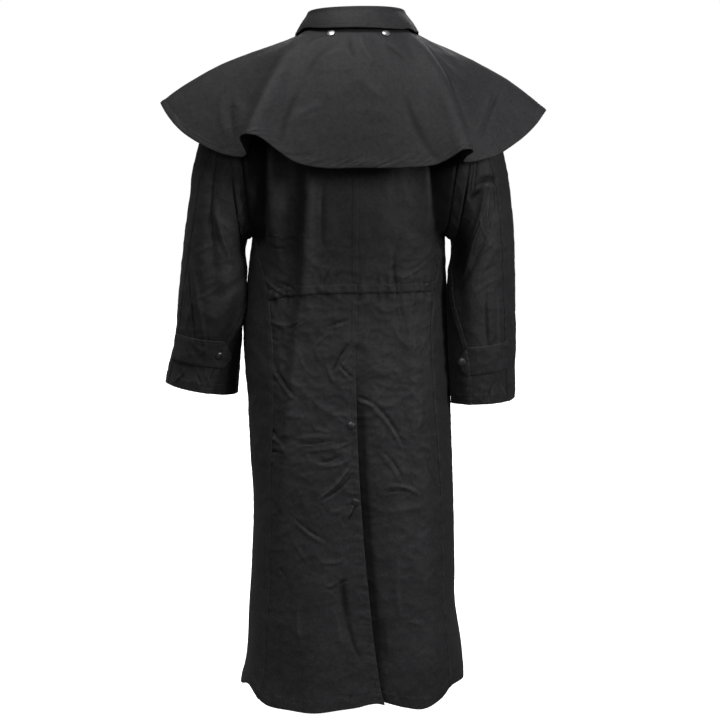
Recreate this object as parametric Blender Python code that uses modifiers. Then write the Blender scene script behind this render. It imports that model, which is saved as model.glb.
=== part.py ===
"""A long waxed-cotton duster coat with a shoulder cape, standing hollow as it is worn.

Metres, +Z up, and the coat faces -Y, so its back is at +Y and its left side at +X.
The origin is the middle of the neck opening at the nape's height, where the wearer's shoulders hold it.
Every cloth piece is an open grid of points on one of four surfaces (body, sleeve, cape, collar),
given a wall on its inner side. Pieces that lie on a panel are grids of that panel's own points, moved out.
"""

import math
from bisect import bisect_right

import bpy
from mathutils import Matrix, Vector
from mathutils.geometry import closest_point_on_tri

# Driving dimensions
WALL = 0.002
TRIM_WALL = 0.0014
SEAM_GAP = 0.0003
LAYER_GAP = 0.0012
TRIM_GAP = 0.0009
OVERLAP_GAP = 0.0016
HEM = -1.28
UNDERARM = -0.395
SQUARENESS = 2.4

# Neck and shoulders
NECK_HALF_WIDTH = 0.088
NECK_BACK_DEPTH = 0.078
NECK_FRONT_DEPTH = 0.085
NAPE_HEIGHT = -0.012
FRONT_NECK_DROP = 0.072
SHOULDER_TIP_X = 0.215
SHOULDER_TIP_HEIGHT = -0.088
ARMHOLE_HALF_DEPTH = 0.088
NECK_SHARE = NECK_HALF_WIDTH / SHOULDER_TIP_X
NECK_CENTRE = -0.008

# Body sections: height, middle, half width, depth at the back, depth at the front
BODY = [
    (-1.280, 0.002, 0.222, 0.195, 0.178),
    (-1.220, -0.002, 0.214, 0.190, 0.173),
    (-1.120, 0.002, 0.204, 0.183, 0.167),
    (-1.040, 0.000, 0.2005, 0.177, 0.162),
    (-0.920, -0.001, 0.197, 0.168, 0.155),
    (-0.820, 0.0035, 0.1975, 0.160, 0.150),
    (-0.720, 0.0075, 0.1975, 0.150, 0.143),
    (-0.650, 0.011, 0.199, 0.142, 0.138),
    (-0.580, 0.0135, 0.1995, 0.132, 0.132),
    (-0.520, 0.012, 0.195, 0.126, 0.128),
    (-0.470, 0.011, 0.191, 0.126, 0.128),
    (-0.395, 0.008, 0.185, 0.130, 0.128),
]

# Hem line: angle round the body and height
HEM_LINE = [
    (-180, -1.280),
    (-120, -1.276),
    (-86, -1.268),
    (-56, -1.256),
    (-46, -1.271),
    (-33, -1.284),
    (-24, -1.280),
    (-15, -1.272),
    (-8, -1.266),
    (1, -1.276),
    (13, -1.2835),
    (28, -1.2845),
    (42, -1.286),
    (50, -1.279),
    (62, -1.260),
    (75, -1.272),
    (88, -1.282),
    (120, -1.280),
    (180, -1.280),
]

# Side seam: height, then its share of the half width on the left and on the right
SIDE_SEAM = [
    (-1.280, 0.81, 0.84),
    (-0.860, 0.77, 0.85),
    (-0.600, 0.70, 0.81),
    (-0.500, 0.78, 0.86),
    (-0.430, 0.92, 0.95),
    (-0.395, 1.00, 1.00),
]

# Centre back: height, and x of the left panel's edge, which is the seam down to the vent
VENT_TOP = -0.600
BACK_EDGE = [
    (-1.280, -0.060),
    (-1.250, -0.052),
    (-1.160, -0.040),
    (-1.070, -0.031),
    (-0.955, -0.020),
    (-0.770, -0.009),
    (-0.600, -0.006),
    (-0.250, -0.007),
    (0.000, 0.000),
]
VENT_STEP = 0.022
VENT_UNDERLAP = 0.052
VENT_SHADOW_DEPTH = 0.013
VENT_SHADOW_REACH = 0.045
FRONT_OVERLAP = 0.032
# Half of a seam's gap, as an angle round the body and round a sleeve
GAP_ANGLE = 0.10
SLEEVE_GAP_ANGLE = 0.18

# Folds: face (1 back, -1 front), x and height where it starts and ends, its half breadth, its rise
BODY_FOLDS = [
    (1, 0.148, -0.20, 0.150, -0.40, 0.016, 0.012),
    (1, 0.172, -0.16, 0.176, -0.41, 0.014, -0.026),
    (1, 0.083, -0.20, 0.091, -0.56, 0.020, 0.009),
    (1, 0.112, -0.20, 0.116, -0.50, 0.022, -0.009),
    (1, 0.100, -0.62, 0.150, -1.00, 0.026, 0.007),
    (1, -0.128, -0.20, -0.150, -0.43, 0.016, 0.008),
    (1, -0.152, -0.15, -0.165, -0.41, 0.013, -0.026),
    (1, -0.120, -0.60, -0.150, -1.20, 0.026, 0.006),
    (1, 0.060, -1.00, 0.085, -1.36, 0.040, 0.008),
    (1, -0.135, -1.02, -0.155, -1.36, 0.036, 0.008),
    (-1, 0.110, -0.55, 0.135, -1.36, 0.034, 0.012),
    (-1, -0.110, -0.55, -0.130, -1.36, 0.034, 0.012),
    (-1, 0.076, -0.80, 0.080, -1.36, 0.022, -0.007),
    (-1, -0.074, -0.80, -0.078, -1.36, 0.022, -0.007),
    (-1, 0.150, -0.22, 0.160, -0.42, 0.016, -0.016),
    (-1, -0.146, -0.22, -0.156, -0.42, 0.016, -0.016),
]

# Least gap between a sleeve and the body's side
SLEEVE_CLEARANCE = 0.0034
# Rings of a sleeve's inner face: share of the length, the underarm side's x and height, the outer side's,
# the middle's y, half the depth front to back, how far back the underarm side leans
SLEEVE_LEFT = [
    (0.00, 0.1945, -0.395, 0.2165, -0.088, 0.000, 0.088, 0.000),
    (0.08, 0.1990, -0.399, 0.2480, -0.120, 0.000, 0.086, 0.004),
    (0.17, 0.2030, -0.405, 0.2760, -0.186, 0.000, 0.084, 0.010),
    (0.27, 0.2060, -0.415, 0.3020, -0.262, -0.002, 0.081, 0.016),
    (0.37, 0.2080, -0.433, 0.3150, -0.345, -0.004, 0.078, 0.022),
    (0.48, 0.2040, -0.465, 0.3270, -0.425, -0.008, 0.076, 0.034),
    (0.59, 0.2010, -0.512, 0.3355, -0.498, -0.013, 0.075, 0.044),
    (0.69, 0.2060, -0.560, 0.3410, -0.558, -0.018, 0.074, 0.042),
    (0.79, 0.2175, -0.608, 0.3480, -0.606, -0.023, 0.074, 0.028),
    (0.89, 0.2235, -0.655, 0.3580, -0.646, -0.028, 0.075, 0.014),
    (1.00, 0.2295, -0.708, 0.3680, -0.686, -0.034, 0.078, 0.010),
]
SLEEVE_RIGHT = [
    (0.00, 0.1785, -0.395, 0.2165, -0.088, 0.000, 0.088, 0.000),
    (0.08, 0.1835, -0.399, 0.2460, -0.120, 0.000, 0.086, 0.004),
    (0.17, 0.1875, -0.405, 0.2720, -0.186, 0.000, 0.084, 0.010),
    (0.27, 0.1895, -0.415, 0.2920, -0.262, -0.002, 0.081, 0.016),
    (0.37, 0.1890, -0.433, 0.3040, -0.345, -0.004, 0.078, 0.028),
    (0.48, 0.1830, -0.465, 0.3110, -0.428, -0.008, 0.076, 0.044),
    (0.59, 0.1800, -0.512, 0.3145, -0.502, -0.013, 0.075, 0.056),
    (0.69, 0.1800, -0.562, 0.3165, -0.562, -0.018, 0.074, 0.060),
    (0.79, 0.1810, -0.613, 0.3170, -0.613, -0.023, 0.073, 0.060),
    (0.89, 0.1820, -0.664, 0.3175, -0.664, -0.028, 0.073, 0.058),
    (1.00, 0.1850, -0.718, 0.3170, -0.718, -0.034, 0.074, 0.054),
]
# Rings of a sleeve above its strap, as shares of its length
SLEEVE_LENGTH = 0.62
SLEEVE_RINGS = (0.0, 0.085, 0.16, 0.24, 0.32, 0.41, 0.50, 0.59, 0.67)
# Angles round a sleeve run from 0 at its outer side over 90 at the back to 180 at the underarm side
# Seams of a sleeve: share of the length, the outer seam's and the inner seam's angle
SLEEVE_SEAMS_LEFT = [(0.00, 50, 172), (0.30, 48, 176), (0.60, 34, 170), (0.78, 29, 128), (1.00, 27, 104)]
SLEEVE_SEAMS_RIGHT = [(0.00, 62, 172), (0.30, 58, 176), (0.60, 53, 150), (0.80, 49, 118), (1.00, 42, 113)]
# Folds of a sleeve: share and angle where it starts and ends, its half breadth, its rise
SLEEVE_FOLDS_LEFT = [
    (0.14, 74, 0.62, 100, 0.013, -0.006),
    (0.28, 88, 0.44, 128, 0.010, 0.005),
    (0.52, 150, 0.62, 90, 0.014, -0.004),
    (0.50, -60, 0.60, -140, 0.016, -0.006),
    (0.30, -80, 0.62, -60, 0.018, 0.005),
]
SLEEVE_FOLDS_RIGHT = [
    (0.22, 76, 0.40, 118, 0.012, 0.006),
    (0.34, 80, 0.52, 124, 0.010, -0.006),
    (0.50, -60, 0.60, -140, 0.016, -0.006),
    (0.30, -80, 0.62, -60, 0.018, 0.005),
]

# Cape: direction round the neck (0 back, 90 left), the hem's x, y and height there, the outward swell,
# and the power that sets where the swell is fullest (under 1 nearer the neck, over 1 nearer the hem)
CAPE_ROWS = (0, 0.05, 0.12, 0.21, 0.32, 0.45, 0.58, 0.72, 0.86, 1)
CAPE_NECK_HALF_WIDTH = 0.100
CAPE_NECK_BACK = 0.0845
CAPE_NECK_FRONT = 0.096
CAPE_NECK_HEIGHT = -0.0105
CAPE_NECK_SIDE_DROP = 0.0040
CAPE_NECK_FRONT_DROP = 0.074
CAPE_HEM = [
    (-176, -0.014, -0.200, -0.272, 0.009, 0.80),
    (-164, -0.072, -0.200, -0.270, 0.011, 0.80),
    (-152, -0.127, -0.198, -0.262, 0.016, 0.80),
    (-142, -0.172, -0.208, -0.246, 0.020, 0.80),
    (-132, -0.212, -0.186, -0.246, 0.024, 0.80),
    (-120, -0.272, -0.156, -0.226, 0.022, 0.85),
    (-107, -0.330, -0.100, -0.196, 0.017, 0.90),
    (-98, -0.365, -0.045, -0.170, 0.016, 1.20),
    (-92, -0.369, -0.002, -0.1600, 0.0160, 1.30),
    (-88, -0.346, 0.030, -0.189, 0.021, 1.10),
    (-84, -0.3145, 0.060, -0.2165, 0.025, 0.85),
    (-79, -0.270, 0.100, -0.245, 0.028, 0.80),
    (-73, -0.240, 0.117, -0.2545, 0.030, 0.80),
    (-69.5, -0.216, 0.127, -0.259, 0.031, 0.78),
    (-67, -0.203, 0.140, -0.258, 0.031, 0.75),
    (-64.5, -0.207, 0.165, -0.250, 0.030, 0.75),
    (-62, -0.2175, 0.186, -0.241, 0.029, 0.75),
    (-59.5, -0.211, 0.199, -0.236, 0.029, 0.75),
    (-56, -0.1945, 0.202, -0.2385, 0.030, 0.75),
    (-51, -0.1755, 0.199, -0.251, 0.031, 0.75),
    (-45, -0.147, 0.195, -0.2646, 0.031, 0.75),
    (-32, -0.0987, 0.193, -0.2695, 0.032, 0.75),
    (-16, -0.050, 0.192, -0.270, 0.032, 0.75),
    (0, 0.000, 0.190, -0.270, 0.032, 0.75),
    (16, 0.050, 0.192, -0.270, 0.032, 0.75),
    (32, 0.100, 0.193, -0.2605, 0.031, 0.75),
    (43, 0.135, 0.197, -0.238, 0.029, 0.75),
    (50, 0.165, 0.204, -0.2155, 0.027, 0.75),
    (55, 0.188, 0.203, -0.2105, 0.026, 0.75),
    (58.5, 0.2005, 0.188, -0.217, 0.027, 0.75),
    (61.5, 0.196, 0.160, -0.232, 0.028, 0.75),
    (64.5, 0.193, 0.136, -0.245, 0.030, 0.80),
    (68, 0.2076, 0.124, -0.2505, 0.030, 0.85),
    (73, 0.245, 0.113, -0.2425, 0.026, 0.90),
    (79, 0.2916, 0.090, -0.220, 0.020, 1.00),
    (84, 0.325, 0.062, -0.1973, 0.016, 1.10),
    (88, 0.3500, 0.030, -0.1713, 0.0150, 1.40),
    (92, 0.3670, -0.002, -0.1470, 0.0140, 1.55),
    (98, 0.363, -0.045, -0.158, 0.0140, 1.40),
    (107, 0.330, -0.100, -0.188, 0.014, 1.00),
    (120, 0.272, -0.156, -0.222, 0.021, 0.90),
    (132, 0.212, -0.186, -0.244, 0.024, 0.80),
    (142, 0.172, -0.208, -0.246, 0.020, 0.80),
    (152, 0.123, -0.198, -0.262, 0.016, 0.80),
    (164, 0.066, -0.200, -0.270, 0.011, 0.80),
    (176, 0.006, -0.200, -0.272, 0.009, 0.80),
]

# Collar: direction round the neck, height of its top edge, share of the cape's length that its fall
# reaches down to, how far the fall's edge stands above the cape
COLLAR = [
    (0, 0.0205, 0.060, 0.0080),
    (60, 0.0200, 0.060, 0.0060),
    (90, 0.0165, 0.055, 0.0040),
    (110, 0.0040, 0.090, 0.0040),
    (125, -0.0120, 0.140, 0.0040),
    (150, -0.0430, 0.220, 0.0045),
    (168, -0.0560, 0.270, 0.0050),
]
COLLAR_REACH = 168
COLLAR_LEAN = 0.004
COLLAR_INSET = 0.0032
COLLAR_TILT = 0.0015
# The roll at the top of the collar: how far out of the stand and how far above its top edge
COLLAR_ROLL = [(0.0000, 0.0006), (0.0030, 0.0040), (0.0078, 0.0034), (0.0115, -0.0034)]

# Waist channel for the drawcord
CHANNEL_HEIGHT = 0.019
CHANNEL_MIDDLE = [(-95, -0.492), (0, -0.492), (30, -0.498), (50, -0.510), (95, -0.512)]
CHANNEL_REACH = 68
GATHERS = 27
GATHER_DEPTH = 0.0022

# Cuff straps: share of the sleeve's length at the middle, half height, how much lower the tip lies than the
# seam end, columns of the top panel that the tip takes, the snap's angle
STRAP_LEFT = (0.822, 0.0362, 0.018, 0.87, 118)
STRAP_RIGHT = (0.826, 0.0330, 0.012, 0.75, 127)
BAND_WIDTH = 0.026

# Snap fasteners
SNAP_RADIUS = 0.0076
SNAP_HEIGHT = 0.0030
SNAP_STAND_OFF = 0.0006
CUFF_SNAP_LIFT = {"left": 0.0004, "right": 0.0016}
FRONT_SNAP_HEIGHTS = (-0.33, -0.46, -0.59, -0.72, -0.85)

# Finishes: base colour, roughness, metallic
CLOTH = ("waxed_cloth", (0.020, 0.020, 0.022, 1), 0.62, 0.0)
METAL = ("snap_metal", (0.070, 0.070, 0.074, 1), 0.38, 0.85)


def between(table, key):
    """The other columns of a table at a key in its first column, on a smooth curve through its rows."""
    keys = [row[0] for row in table]
    key = min(max(key, keys[0]), keys[-1])
    i = min(max(bisect_right(keys, key) - 1, 0), len(keys) - 2)
    span = keys[i + 1] - keys[i]
    f = (key - keys[i]) / span
    values = []
    for c in range(1, len(table[0])):
        slopes = []
        for j in (i, i + 1):
            low, high = max(j - 1, 0), min(j + 1, len(keys) - 1)
            slopes.append((table[high][c] - table[low][c]) / (keys[high] - keys[low]))
        start = (1 + 2 * f) * (1 - f) ** 2 * table[i][c] + f * (1 - f) ** 2 * span * slopes[0]
        end = f * f * (3 - 2 * f) * table[i + 1][c] - f * f * (1 - f) * span * slopes[1]
        values.append(start + end)
    return values


def ramp(value, low, high):
    """0 up to low, 1 from high, and smooth between."""
    f = min(max((value - low) / (high - low), 0.0), 1.0)
    return f * f * (3 - 2 * f)


def fold_rise(u, v, start, end, breadth, rise):
    """How far a fold along a line from start to end lifts the cloth at (u, v)."""
    du, dv = end[0] - start[0], end[1] - start[1]
    along = ((u - start[0]) * du + (v - start[1]) * dv) / (du * du + dv * dv)
    held = min(max(along, 0.0), 1.0)
    away = math.hypot(u - start[0] - held * du, v - start[1] - held * dv)
    strength = math.sin(math.pi * (0.12 + 0.76 * held))
    return rise * strength * math.exp(-((away / breadth) ** 2))


def body_plain(angle, height):
    """The body without folds: its point and the level direction out of it.

    The angle runs from 0 at centre back to 90 at the left side and 180 at centre front, and is negative
    on the right. The height is the real one below the underarm. Above it, it runs to 0 at the neck and
    shoulder seams, and at 90 degrees the front and the back part to leave the armhole.
    """
    side = math.copysign(1.0, angle)
    turn = math.radians(abs(angle))
    centre, half, back, front = between(BODY, min(height, UNDERARM))
    share = abs(math.sin(turn)) ** (2 / SQUARENESS)
    inward = math.copysign(abs(math.cos(turn)) ** (2 / SQUARENESS), math.cos(turn))
    depth = back if inward > 0 else front
    x, y = centre + side * half * share, depth * inward
    out_x = side * share ** (SQUARENESS - 1) / half
    out_y = math.copysign(abs(inward) ** (SQUARENESS - 1), inward) / depth
    out = Vector((out_x, out_y, 0))
    if height <= UNDERARM:
        lift = (between(HEM_LINE, angle)[0] - HEM) * ramp(-height, 1.05, 1.28)
        return Vector((x, y, height + lift)), out.normalized()
    rise = 1 - height / UNDERARM
    face = 1.0 if abs(angle) < 90 else -1.0
    if share < NECK_SHARE:
        curve = math.sqrt(1 - (share / NECK_SHARE) ** 2)
        top_y = curve * (NECK_BACK_DEPTH if face > 0 else -NECK_FRONT_DEPTH)
        top_z = NAPE_HEIGHT - (0 if face > 0 else FRONT_NECK_DROP * curve**1.4)
    else:
        top_y = 0.0
        outward = (share - NECK_SHARE) / (1 - NECK_SHARE)
        top_z = NAPE_HEIGHT + (SHOULDER_TIP_HEIGHT - NAPE_HEIGHT) * outward
    arch = (1 - rise**2.2) ** 0.72
    round_hole = math.sqrt(max(0.0, 1 - (2 * rise - 1) ** 2))
    blend = share**18
    hole = share**6 * ((1 - blend) * math.sin(math.pi * rise) * 0.8 + blend * round_hole)
    top_x = side * SHOULDER_TIP_X * share + NECK_CENTRE * (1 - share**2)
    x = (1 - rise) * x + rise * top_x
    y = top_y + (y - top_y) * arch + face * (ARMHOLE_HALF_DEPTH * hole + SEAM_GAP / 2)
    return Vector((x, y, UNDERARM + (top_z - UNDERARM) * rise)), out.normalized()


def body(angle, height, sink=None):
    """A point of the body's outer face, with its folds. sink lowers a panel that runs under another."""
    point, out = body_plain(angle, height)
    face = 1 if abs(angle) < 90 else -1
    rise = 0.0
    for side, x0, z0, x1, z1, breadth, lift in BODY_FOLDS:
        if side == face:
            rise += fold_rise(point.x, point.z, (x0, z0), (x1, z1), breadth, lift)
    fade = ramp(UNDERARM + 0.25 - point.z, 0, 0.08) * ramp(abs(90 - abs(angle)), 4, 22)
    if point.z < UNDERARM - 0.02:
        fade = max(fade, ramp(UNDERARM - 0.02 - point.z, 0, 0.06) * ramp(abs(90 - abs(angle)), 0, 12))
    rise *= fade
    if sink:
        rise -= sink(point)
    return point + out * rise


def moved_out(surface, u, v, out, step_u=0.5, step_v=0.004):
    """A surface's point moved out along its own normal."""
    point = surface(u, v)
    across = surface(u + step_u, v) - surface(u - step_u, v)
    along = surface(u, v + step_v) - surface(u, v - step_v)
    normal = across.cross(along).normalized()
    return point + normal * out


def body_angle(x, height, face=1):
    """The angle at which the body has this x at this height."""
    centre, half, _, _ = between(BODY, min(height, UNDERARM))
    rise = max(0.0, 1 - height / UNDERARM)
    middle = (1 - rise) * centre + rise * NECK_CENTRE
    reach = (1 - rise) * half + rise * SHOULDER_TIP_X
    share = min(abs(x - middle) / reach, 1.0)
    turn = math.degrees(math.asin(share ** (SQUARENESS / 2)))
    return math.copysign(turn if face > 0 else 180 - turn, x - middle)


def seam_angle(side, height, face=1):
    """A side seam's angle at a height. Above the underarm, the front and the back have each their own."""
    if height >= UNDERARM:
        return 90.0 - face * GAP_ANGLE
    share = between(SIDE_SEAM, height)[0 if side > 0 else 1]
    return math.degrees(math.asin(min(share, 1.0) ** (SQUARENESS / 2)))


def grid_normals(rows):
    """The outward direction at each point of a grid, from the faces round it."""
    normals = [[Vector() for _ in row] for row in rows]
    for i in range(len(rows) - 1):
        for j in range(len(rows[0]) - 1):
            a, b, c, d = rows[i][j], rows[i][j + 1], rows[i + 1][j + 1], rows[i + 1][j]
            normal = (c - a).cross(d - b).normalized()
            for m, n in ((i, j), (i, j + 1), (i + 1, j + 1), (i + 1, j)):
                normals[m][n] += normal
    return [[normal.normalized() for normal in row] for row in normals]


def cloth_object(name, rows, wall, finish=CLOTH, level_seam=False, seams=()):
    """A grid of points with a wall on its inner side. Rows run so that the grid's faces point outwards.

    At a level seam, the shoulder's, the wall goes straight down, so that it keeps off its neighbour's.
    The seams are the directions out of each row's two ends, where the next panel has the same ones.
    """
    normals = grid_normals(rows)
    for turned, (first, last) in zip(normals, seams):
        turned[0], turned[-1] = first, last
    grids[name] = (rows, normals)
    if level_seam:
        for point, normal in zip(rows[-1], normals[-1]):
            if abs(point.y) < 0.001:
                normal.y = 0.0
                normal.normalize()
    width, count = len(rows[0]), len(rows) * len(rows[0])
    points = [point for row in rows for point in row]
    points += [p - n * wall for row, turned in zip(rows, normals) for p, n in zip(row, turned)]
    faces = []
    for i in range(len(rows) - 1):
        for j in range(width - 1):
            a = i * width + j
            quad = (a, a + 1, a + width + 1, a + width)
            faces.append(quad)
            faces.append(tuple(count + k for k in quad[::-1]))
    rim = list(range(width)) + [i * width + width - 1 for i in range(1, len(rows))]
    rim += [count - 1 - j for j in range(1, width)] + [i * width for i in range(len(rows) - 2, 0, -1)]
    for a, b in zip(rim, rim[1:] + rim[:1]):
        faces.append((b, a, a + count, b + count))
    mesh = bpy.data.meshes.new(name)
    mesh.from_pydata(points, [], faces)
    mesh.materials.append(material(*finish))
    piece = bpy.data.objects.new(name, mesh)
    coat.objects.link(piece)


def on_grid(name, i, j, out):
    """A point of a piece's outer face at a fractional row and column, moved out."""
    rows, normals = grids[name]
    m, n = min(int(i), len(rows) - 2), min(int(j), len(rows[0]) - 2)
    point, normal = Vector(), Vector()
    for a, row_weight in ((m, 1 - i + m), (m + 1, i - m)):
        for b, column_weight in ((n, 1 - j + n), (n + 1, j - n)):
            point += rows[a][b] * row_weight * column_weight
            normal += normals[a][b] * row_weight * column_weight
    return point + normal.normalized() * out


def seat(name, target):
    """The nearest point to target on a piece's outer face, and that face's direction."""
    rows, _ = grids[name]
    found = None
    for i in range(len(rows) - 1):
        for j in range(len(rows[0]) - 1):
            a, b, c, d = rows[i][j], rows[i][j + 1], rows[i + 1][j + 1], rows[i + 1][j]
            for corners in ((a, b, c), (a, c, d)):
                point = closest_point_on_tri(target, *corners)
                away = (point - target).length
                if found is None or away < found[0]:
                    normal = (corners[1] - corners[0]).cross(corners[2] - corners[0]).normalized()
                    found = (away, point, normal)
    return found[1], found[2]


def material(name, colour, roughness, metallic):
    found = bpy.data.materials.get(name)
    if found:
        return found
    made = bpy.data.materials.new(name)
    made.use_nodes = True
    shader = made.node_tree.nodes["Principled BSDF"]
    shader.inputs["Base Color"].default_value = colour
    shader.inputs["Roughness"].default_value = roughness
    shader.inputs["Metallic"].default_value = metallic
    return made


def spread(start, end, count):
    return [start + (end - start) * i / count for i in range(count + 1)]


def panel_heights(lower, upper):
    """Heights of a panel's rows from the hem to the neck, with rows where the vent starts."""
    upward = [UNDERARM * (0.5 + 0.5 * math.cos(math.pi * i / upper)) for i in range(1, upper + 1)]
    vent = [VENT_TOP - VENT_STEP, VENT_TOP, VENT_TOP + VENT_STEP]
    return spread(HEM, vent[0], lower)[:-1] + vent + spread(vent[-1], UNDERARM, 4)[1:] + upward


def vent_sink(point):
    """How far the right back panel lies under the left one at the vent, and the hollow beside its edge."""
    edge = between(BACK_EDGE, point.z)[0]
    low = ramp(VENT_TOP + VENT_STEP - point.z, 0, VENT_STEP)
    near = math.exp(-((max(0.0, edge - point.x) / 0.016) ** 2))
    deep = ramp(-point.z, 0.68, 0.95) * VENT_SHADOW_DEPTH
    hollow = math.exp(-((max(0.0, edge - point.x) / VENT_SHADOW_REACH) ** 2))
    return low * (WALL + OVERLAP_GAP) * near + deep * hollow


def front_sink(point):
    """How far the right front panel lies under the left one."""
    edge = NECK_CENTRE * ramp(point.z, -0.25, -0.08) - FRONT_OVERLAP / 2
    away = max(0.0, edge - point.x)
    return (WALL + OVERLAP_GAP) * math.exp(-((away / 0.012) ** 2))


def build_back(heights, columns):
    left, right = [], []
    for height in heights:
        edge = between(BACK_EDGE, height)[0]
        under = ramp(VENT_TOP - 0.001 - height, 0, VENT_STEP) * VENT_UNDERLAP
        start = body_angle(edge, height) + GAP_ANGLE
        stop = body_angle(edge + under, height) - (0 if under else GAP_ANGLE)
        seam = seam_angle(1, height) - GAP_ANGLE
        left.append([body(a, height) for a in spread(seam, start, columns)])
        seam = -seam_angle(-1, height) + GAP_ANGLE
        right.append([body(a, height, vent_sink) for a in spread(stop, seam, columns)])
    cloth_object("back_left", left, WALL, level_seam=True)
    cloth_object("back_right", right, WALL, level_seam=True)


def build_front(heights, columns):
    left, right = [], []
    for height in heights:
        middle = NECK_CENTRE * ramp(height, -0.25, 0.0)
        stop = body_angle(middle - FRONT_OVERLAP / 2, height, -1) % 360
        seam = seam_angle(1, height, -1) + GAP_ANGLE
        left.append([front_point(a, height, None) for a in spread(stop, seam, columns)])
        stop = body_angle(middle + FRONT_OVERLAP / 2, height, -1) % 360 - 360
        seam = -seam_angle(-1, height, -1) - GAP_ANGLE
        right.append([front_point(a, height, front_sink) for a in spread(seam, stop, columns)])
    cloth_object("front_left", left, WALL, level_seam=True)
    cloth_object("front_right", right, WALL, level_seam=True)


def front_point(angle, height, sink):
    """The body's point for an angle that may run past centre front."""
    if angle > 180:
        angle -= 360
    elif angle < -180:
        angle += 360
    return body(angle, height, sink)


def beside_body(side, y, z):
    """The least distance from the middle plane at which a sleeve's point clears the body at its side."""
    if z > UNDERARM - 0.012:
        return 0.0
    centre, half, back, front = between(BODY, z)
    reach = min(abs(y) / (back if y > 0 else front), 1.0)
    return side * centre + half * (1 - reach**SQUARENESS) ** (1 / SQUARENESS) + SLEEVE_CLEARANCE


def sleeve(side, angle, share):
    """A point of a sleeve's outer face. side is 1 on the left and -1 on the right."""
    table, folds = (SLEEVE_LEFT, SLEEVE_FOLDS_LEFT) if side > 0 else (SLEEVE_RIGHT, SLEEVE_FOLDS_RIGHT)
    under_x, under_z, outer_x, outer_z, middle_y, half_depth, lean = between(table, share)
    turn = math.radians(angle)
    middle = Vector(((under_x + outer_x) / 2, middle_y, (under_z + outer_z) / 2))
    reach = Vector(((outer_x - under_x) / 2, 0, (outer_z - under_z) / 2))
    level = half_depth * math.sin(turn) + lean * (0.5 - 0.5 * math.cos(turn))
    spot = middle + reach * math.cos(turn) + Vector((0, level, 0))
    out = reach.normalized() * math.cos(turn) + Vector((0, math.sin(turn), 0))
    rise = WALL
    for s0, a0, s1, a1, breadth, lift in folds:
        start, end = (s0 * SLEEVE_LENGTH, a0 * 0.00125), (s1 * SLEEVE_LENGTH, a1 * 0.00125)
        wrapped = angle - 360 if angle > 180 else angle
        rise += fold_rise(share * SLEEVE_LENGTH, wrapped * 0.00125, start, end, breadth, lift)
    spot += out.normalized() * rise
    spot.x = max(spot.x, beside_body(side, spot.y, spot.z))
    return Vector((side * spot.x, spot.y, spot.z))


def build_sleeve(side, back_columns, front_columns):
    """A sleeve's two panels: the under one at the back and the top one round the front."""
    if side > 0:
        word, seam_table, strap = "left", SLEEVE_SEAMS_LEFT, STRAP_LEFT
    else:
        word, seam_table, strap = "right", SLEEVE_SEAMS_RIGHT, STRAP_RIGHT
    middle, reach = strap[0], (strap[1] + strap[2] / 2) / SLEEVE_LENGTH
    under, top = [], []
    for share in [*SLEEVE_RINGS, middle - reach, middle, middle + reach, 1.0]:
        outer, inner = between(seam_table, share)
        angles = spread(outer + SLEEVE_GAP_ANGLE, inner - SLEEVE_GAP_ANGLE, back_columns)
        under.append([sleeve(side, a, share) for a in angles][::-side])
        angles = spread(inner + SLEEVE_GAP_ANGLE, 360 + outer - SLEEVE_GAP_ANGLE, front_columns)
        top.append([sleeve(side, a, share) for a in angles][::-side])
    seams = []
    for own, next_one in zip(grid_normals(under), grid_normals(top)):
        seams.append(((own[0] + next_one[-1]).normalized(), (own[-1] + next_one[0]).normalized()))
    cloth_object(f"sleeve_{word}_under", under, WALL, seams=seams)
    cloth_object(f"sleeve_{word}_top", top, WALL, seams=[seam[::-1] for seam in seams])


def sleeve_columns(side, count, panel):
    """A sleeve panel's columns in the order of their angles."""
    return [(f"sleeve_{'left' if side > 0 else 'right'}_{panel}", j) for j in range(count + 1)][::-side]


def build_armhole_band(side, back_columns, front_columns):
    """The felled band that covers the armhole seam, on the sleeve's first ring of panel faces."""
    word = "left" if side > 0 else "right"
    columns = sleeve_columns(side, front_columns, "top")[1:] + sleeve_columns(side, back_columns, "under")[1:]
    near, far = [], []
    for name, j in columns:
        across = (on_grid(name, 1, j, 0) - on_grid(name, 0, j, 0)).length
        broad = min(BAND_WIDTH / across, 0.86)
        near.append(on_grid(name, 0.05, j, TRIM_WALL + TRIM_GAP))
        far.append(on_grid(name, 0.05 + broad, j, TRIM_WALL + TRIM_GAP))
    cloth_object(f"armhole_band_{word}", [near[::-side], far[::-side]], TRIM_WALL)


def build_cuff_strap(side, back_columns, front_columns):
    """The pointed strap sewn into the outer sleeve seam, and its snap."""
    word, measures = ("left", STRAP_LEFT) if side > 0 else ("right", STRAP_RIGHT)
    middle = len(SLEEVE_RINGS) + 1
    half, tilt, tip_columns, snap_at = measures[1:]
    reach = half + tilt / 2
    columns = sleeve_columns(side, back_columns, "under")
    name, first = sleeve_columns(side, front_columns, "top")[0]
    columns += [(name, first - side * f * tip_columns) for f in (0.12, 0.45, 1.0)]
    rows = [[], [], []]
    for i, (name, j) in enumerate(columns):
        taper = {len(columns) - 2: 0.80, len(columns) - 1: 0.24}.get(i, 1.0)
        drop = tilt * (i / (len(columns) - 1) - 0.5)
        for row, f in zip(rows, (-1, 0, 1)):
            row.append(on_grid(name, middle + (drop + f * taper * half) / reach, j, TRIM_WALL + TRIM_GAP))
    cloth_object(f"cuff_strap_{word}", [row[::-side] for row in rows], TRIM_WALL)
    point, normal = seat(f"cuff_strap_{word}", sleeve(side, snap_at, measures[0] + tilt * 0.3 / SLEEVE_LENGTH))
    build_snap(f"cuff_snap_{word}", point + normal * CUFF_SNAP_LIFT[word], normal)


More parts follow.
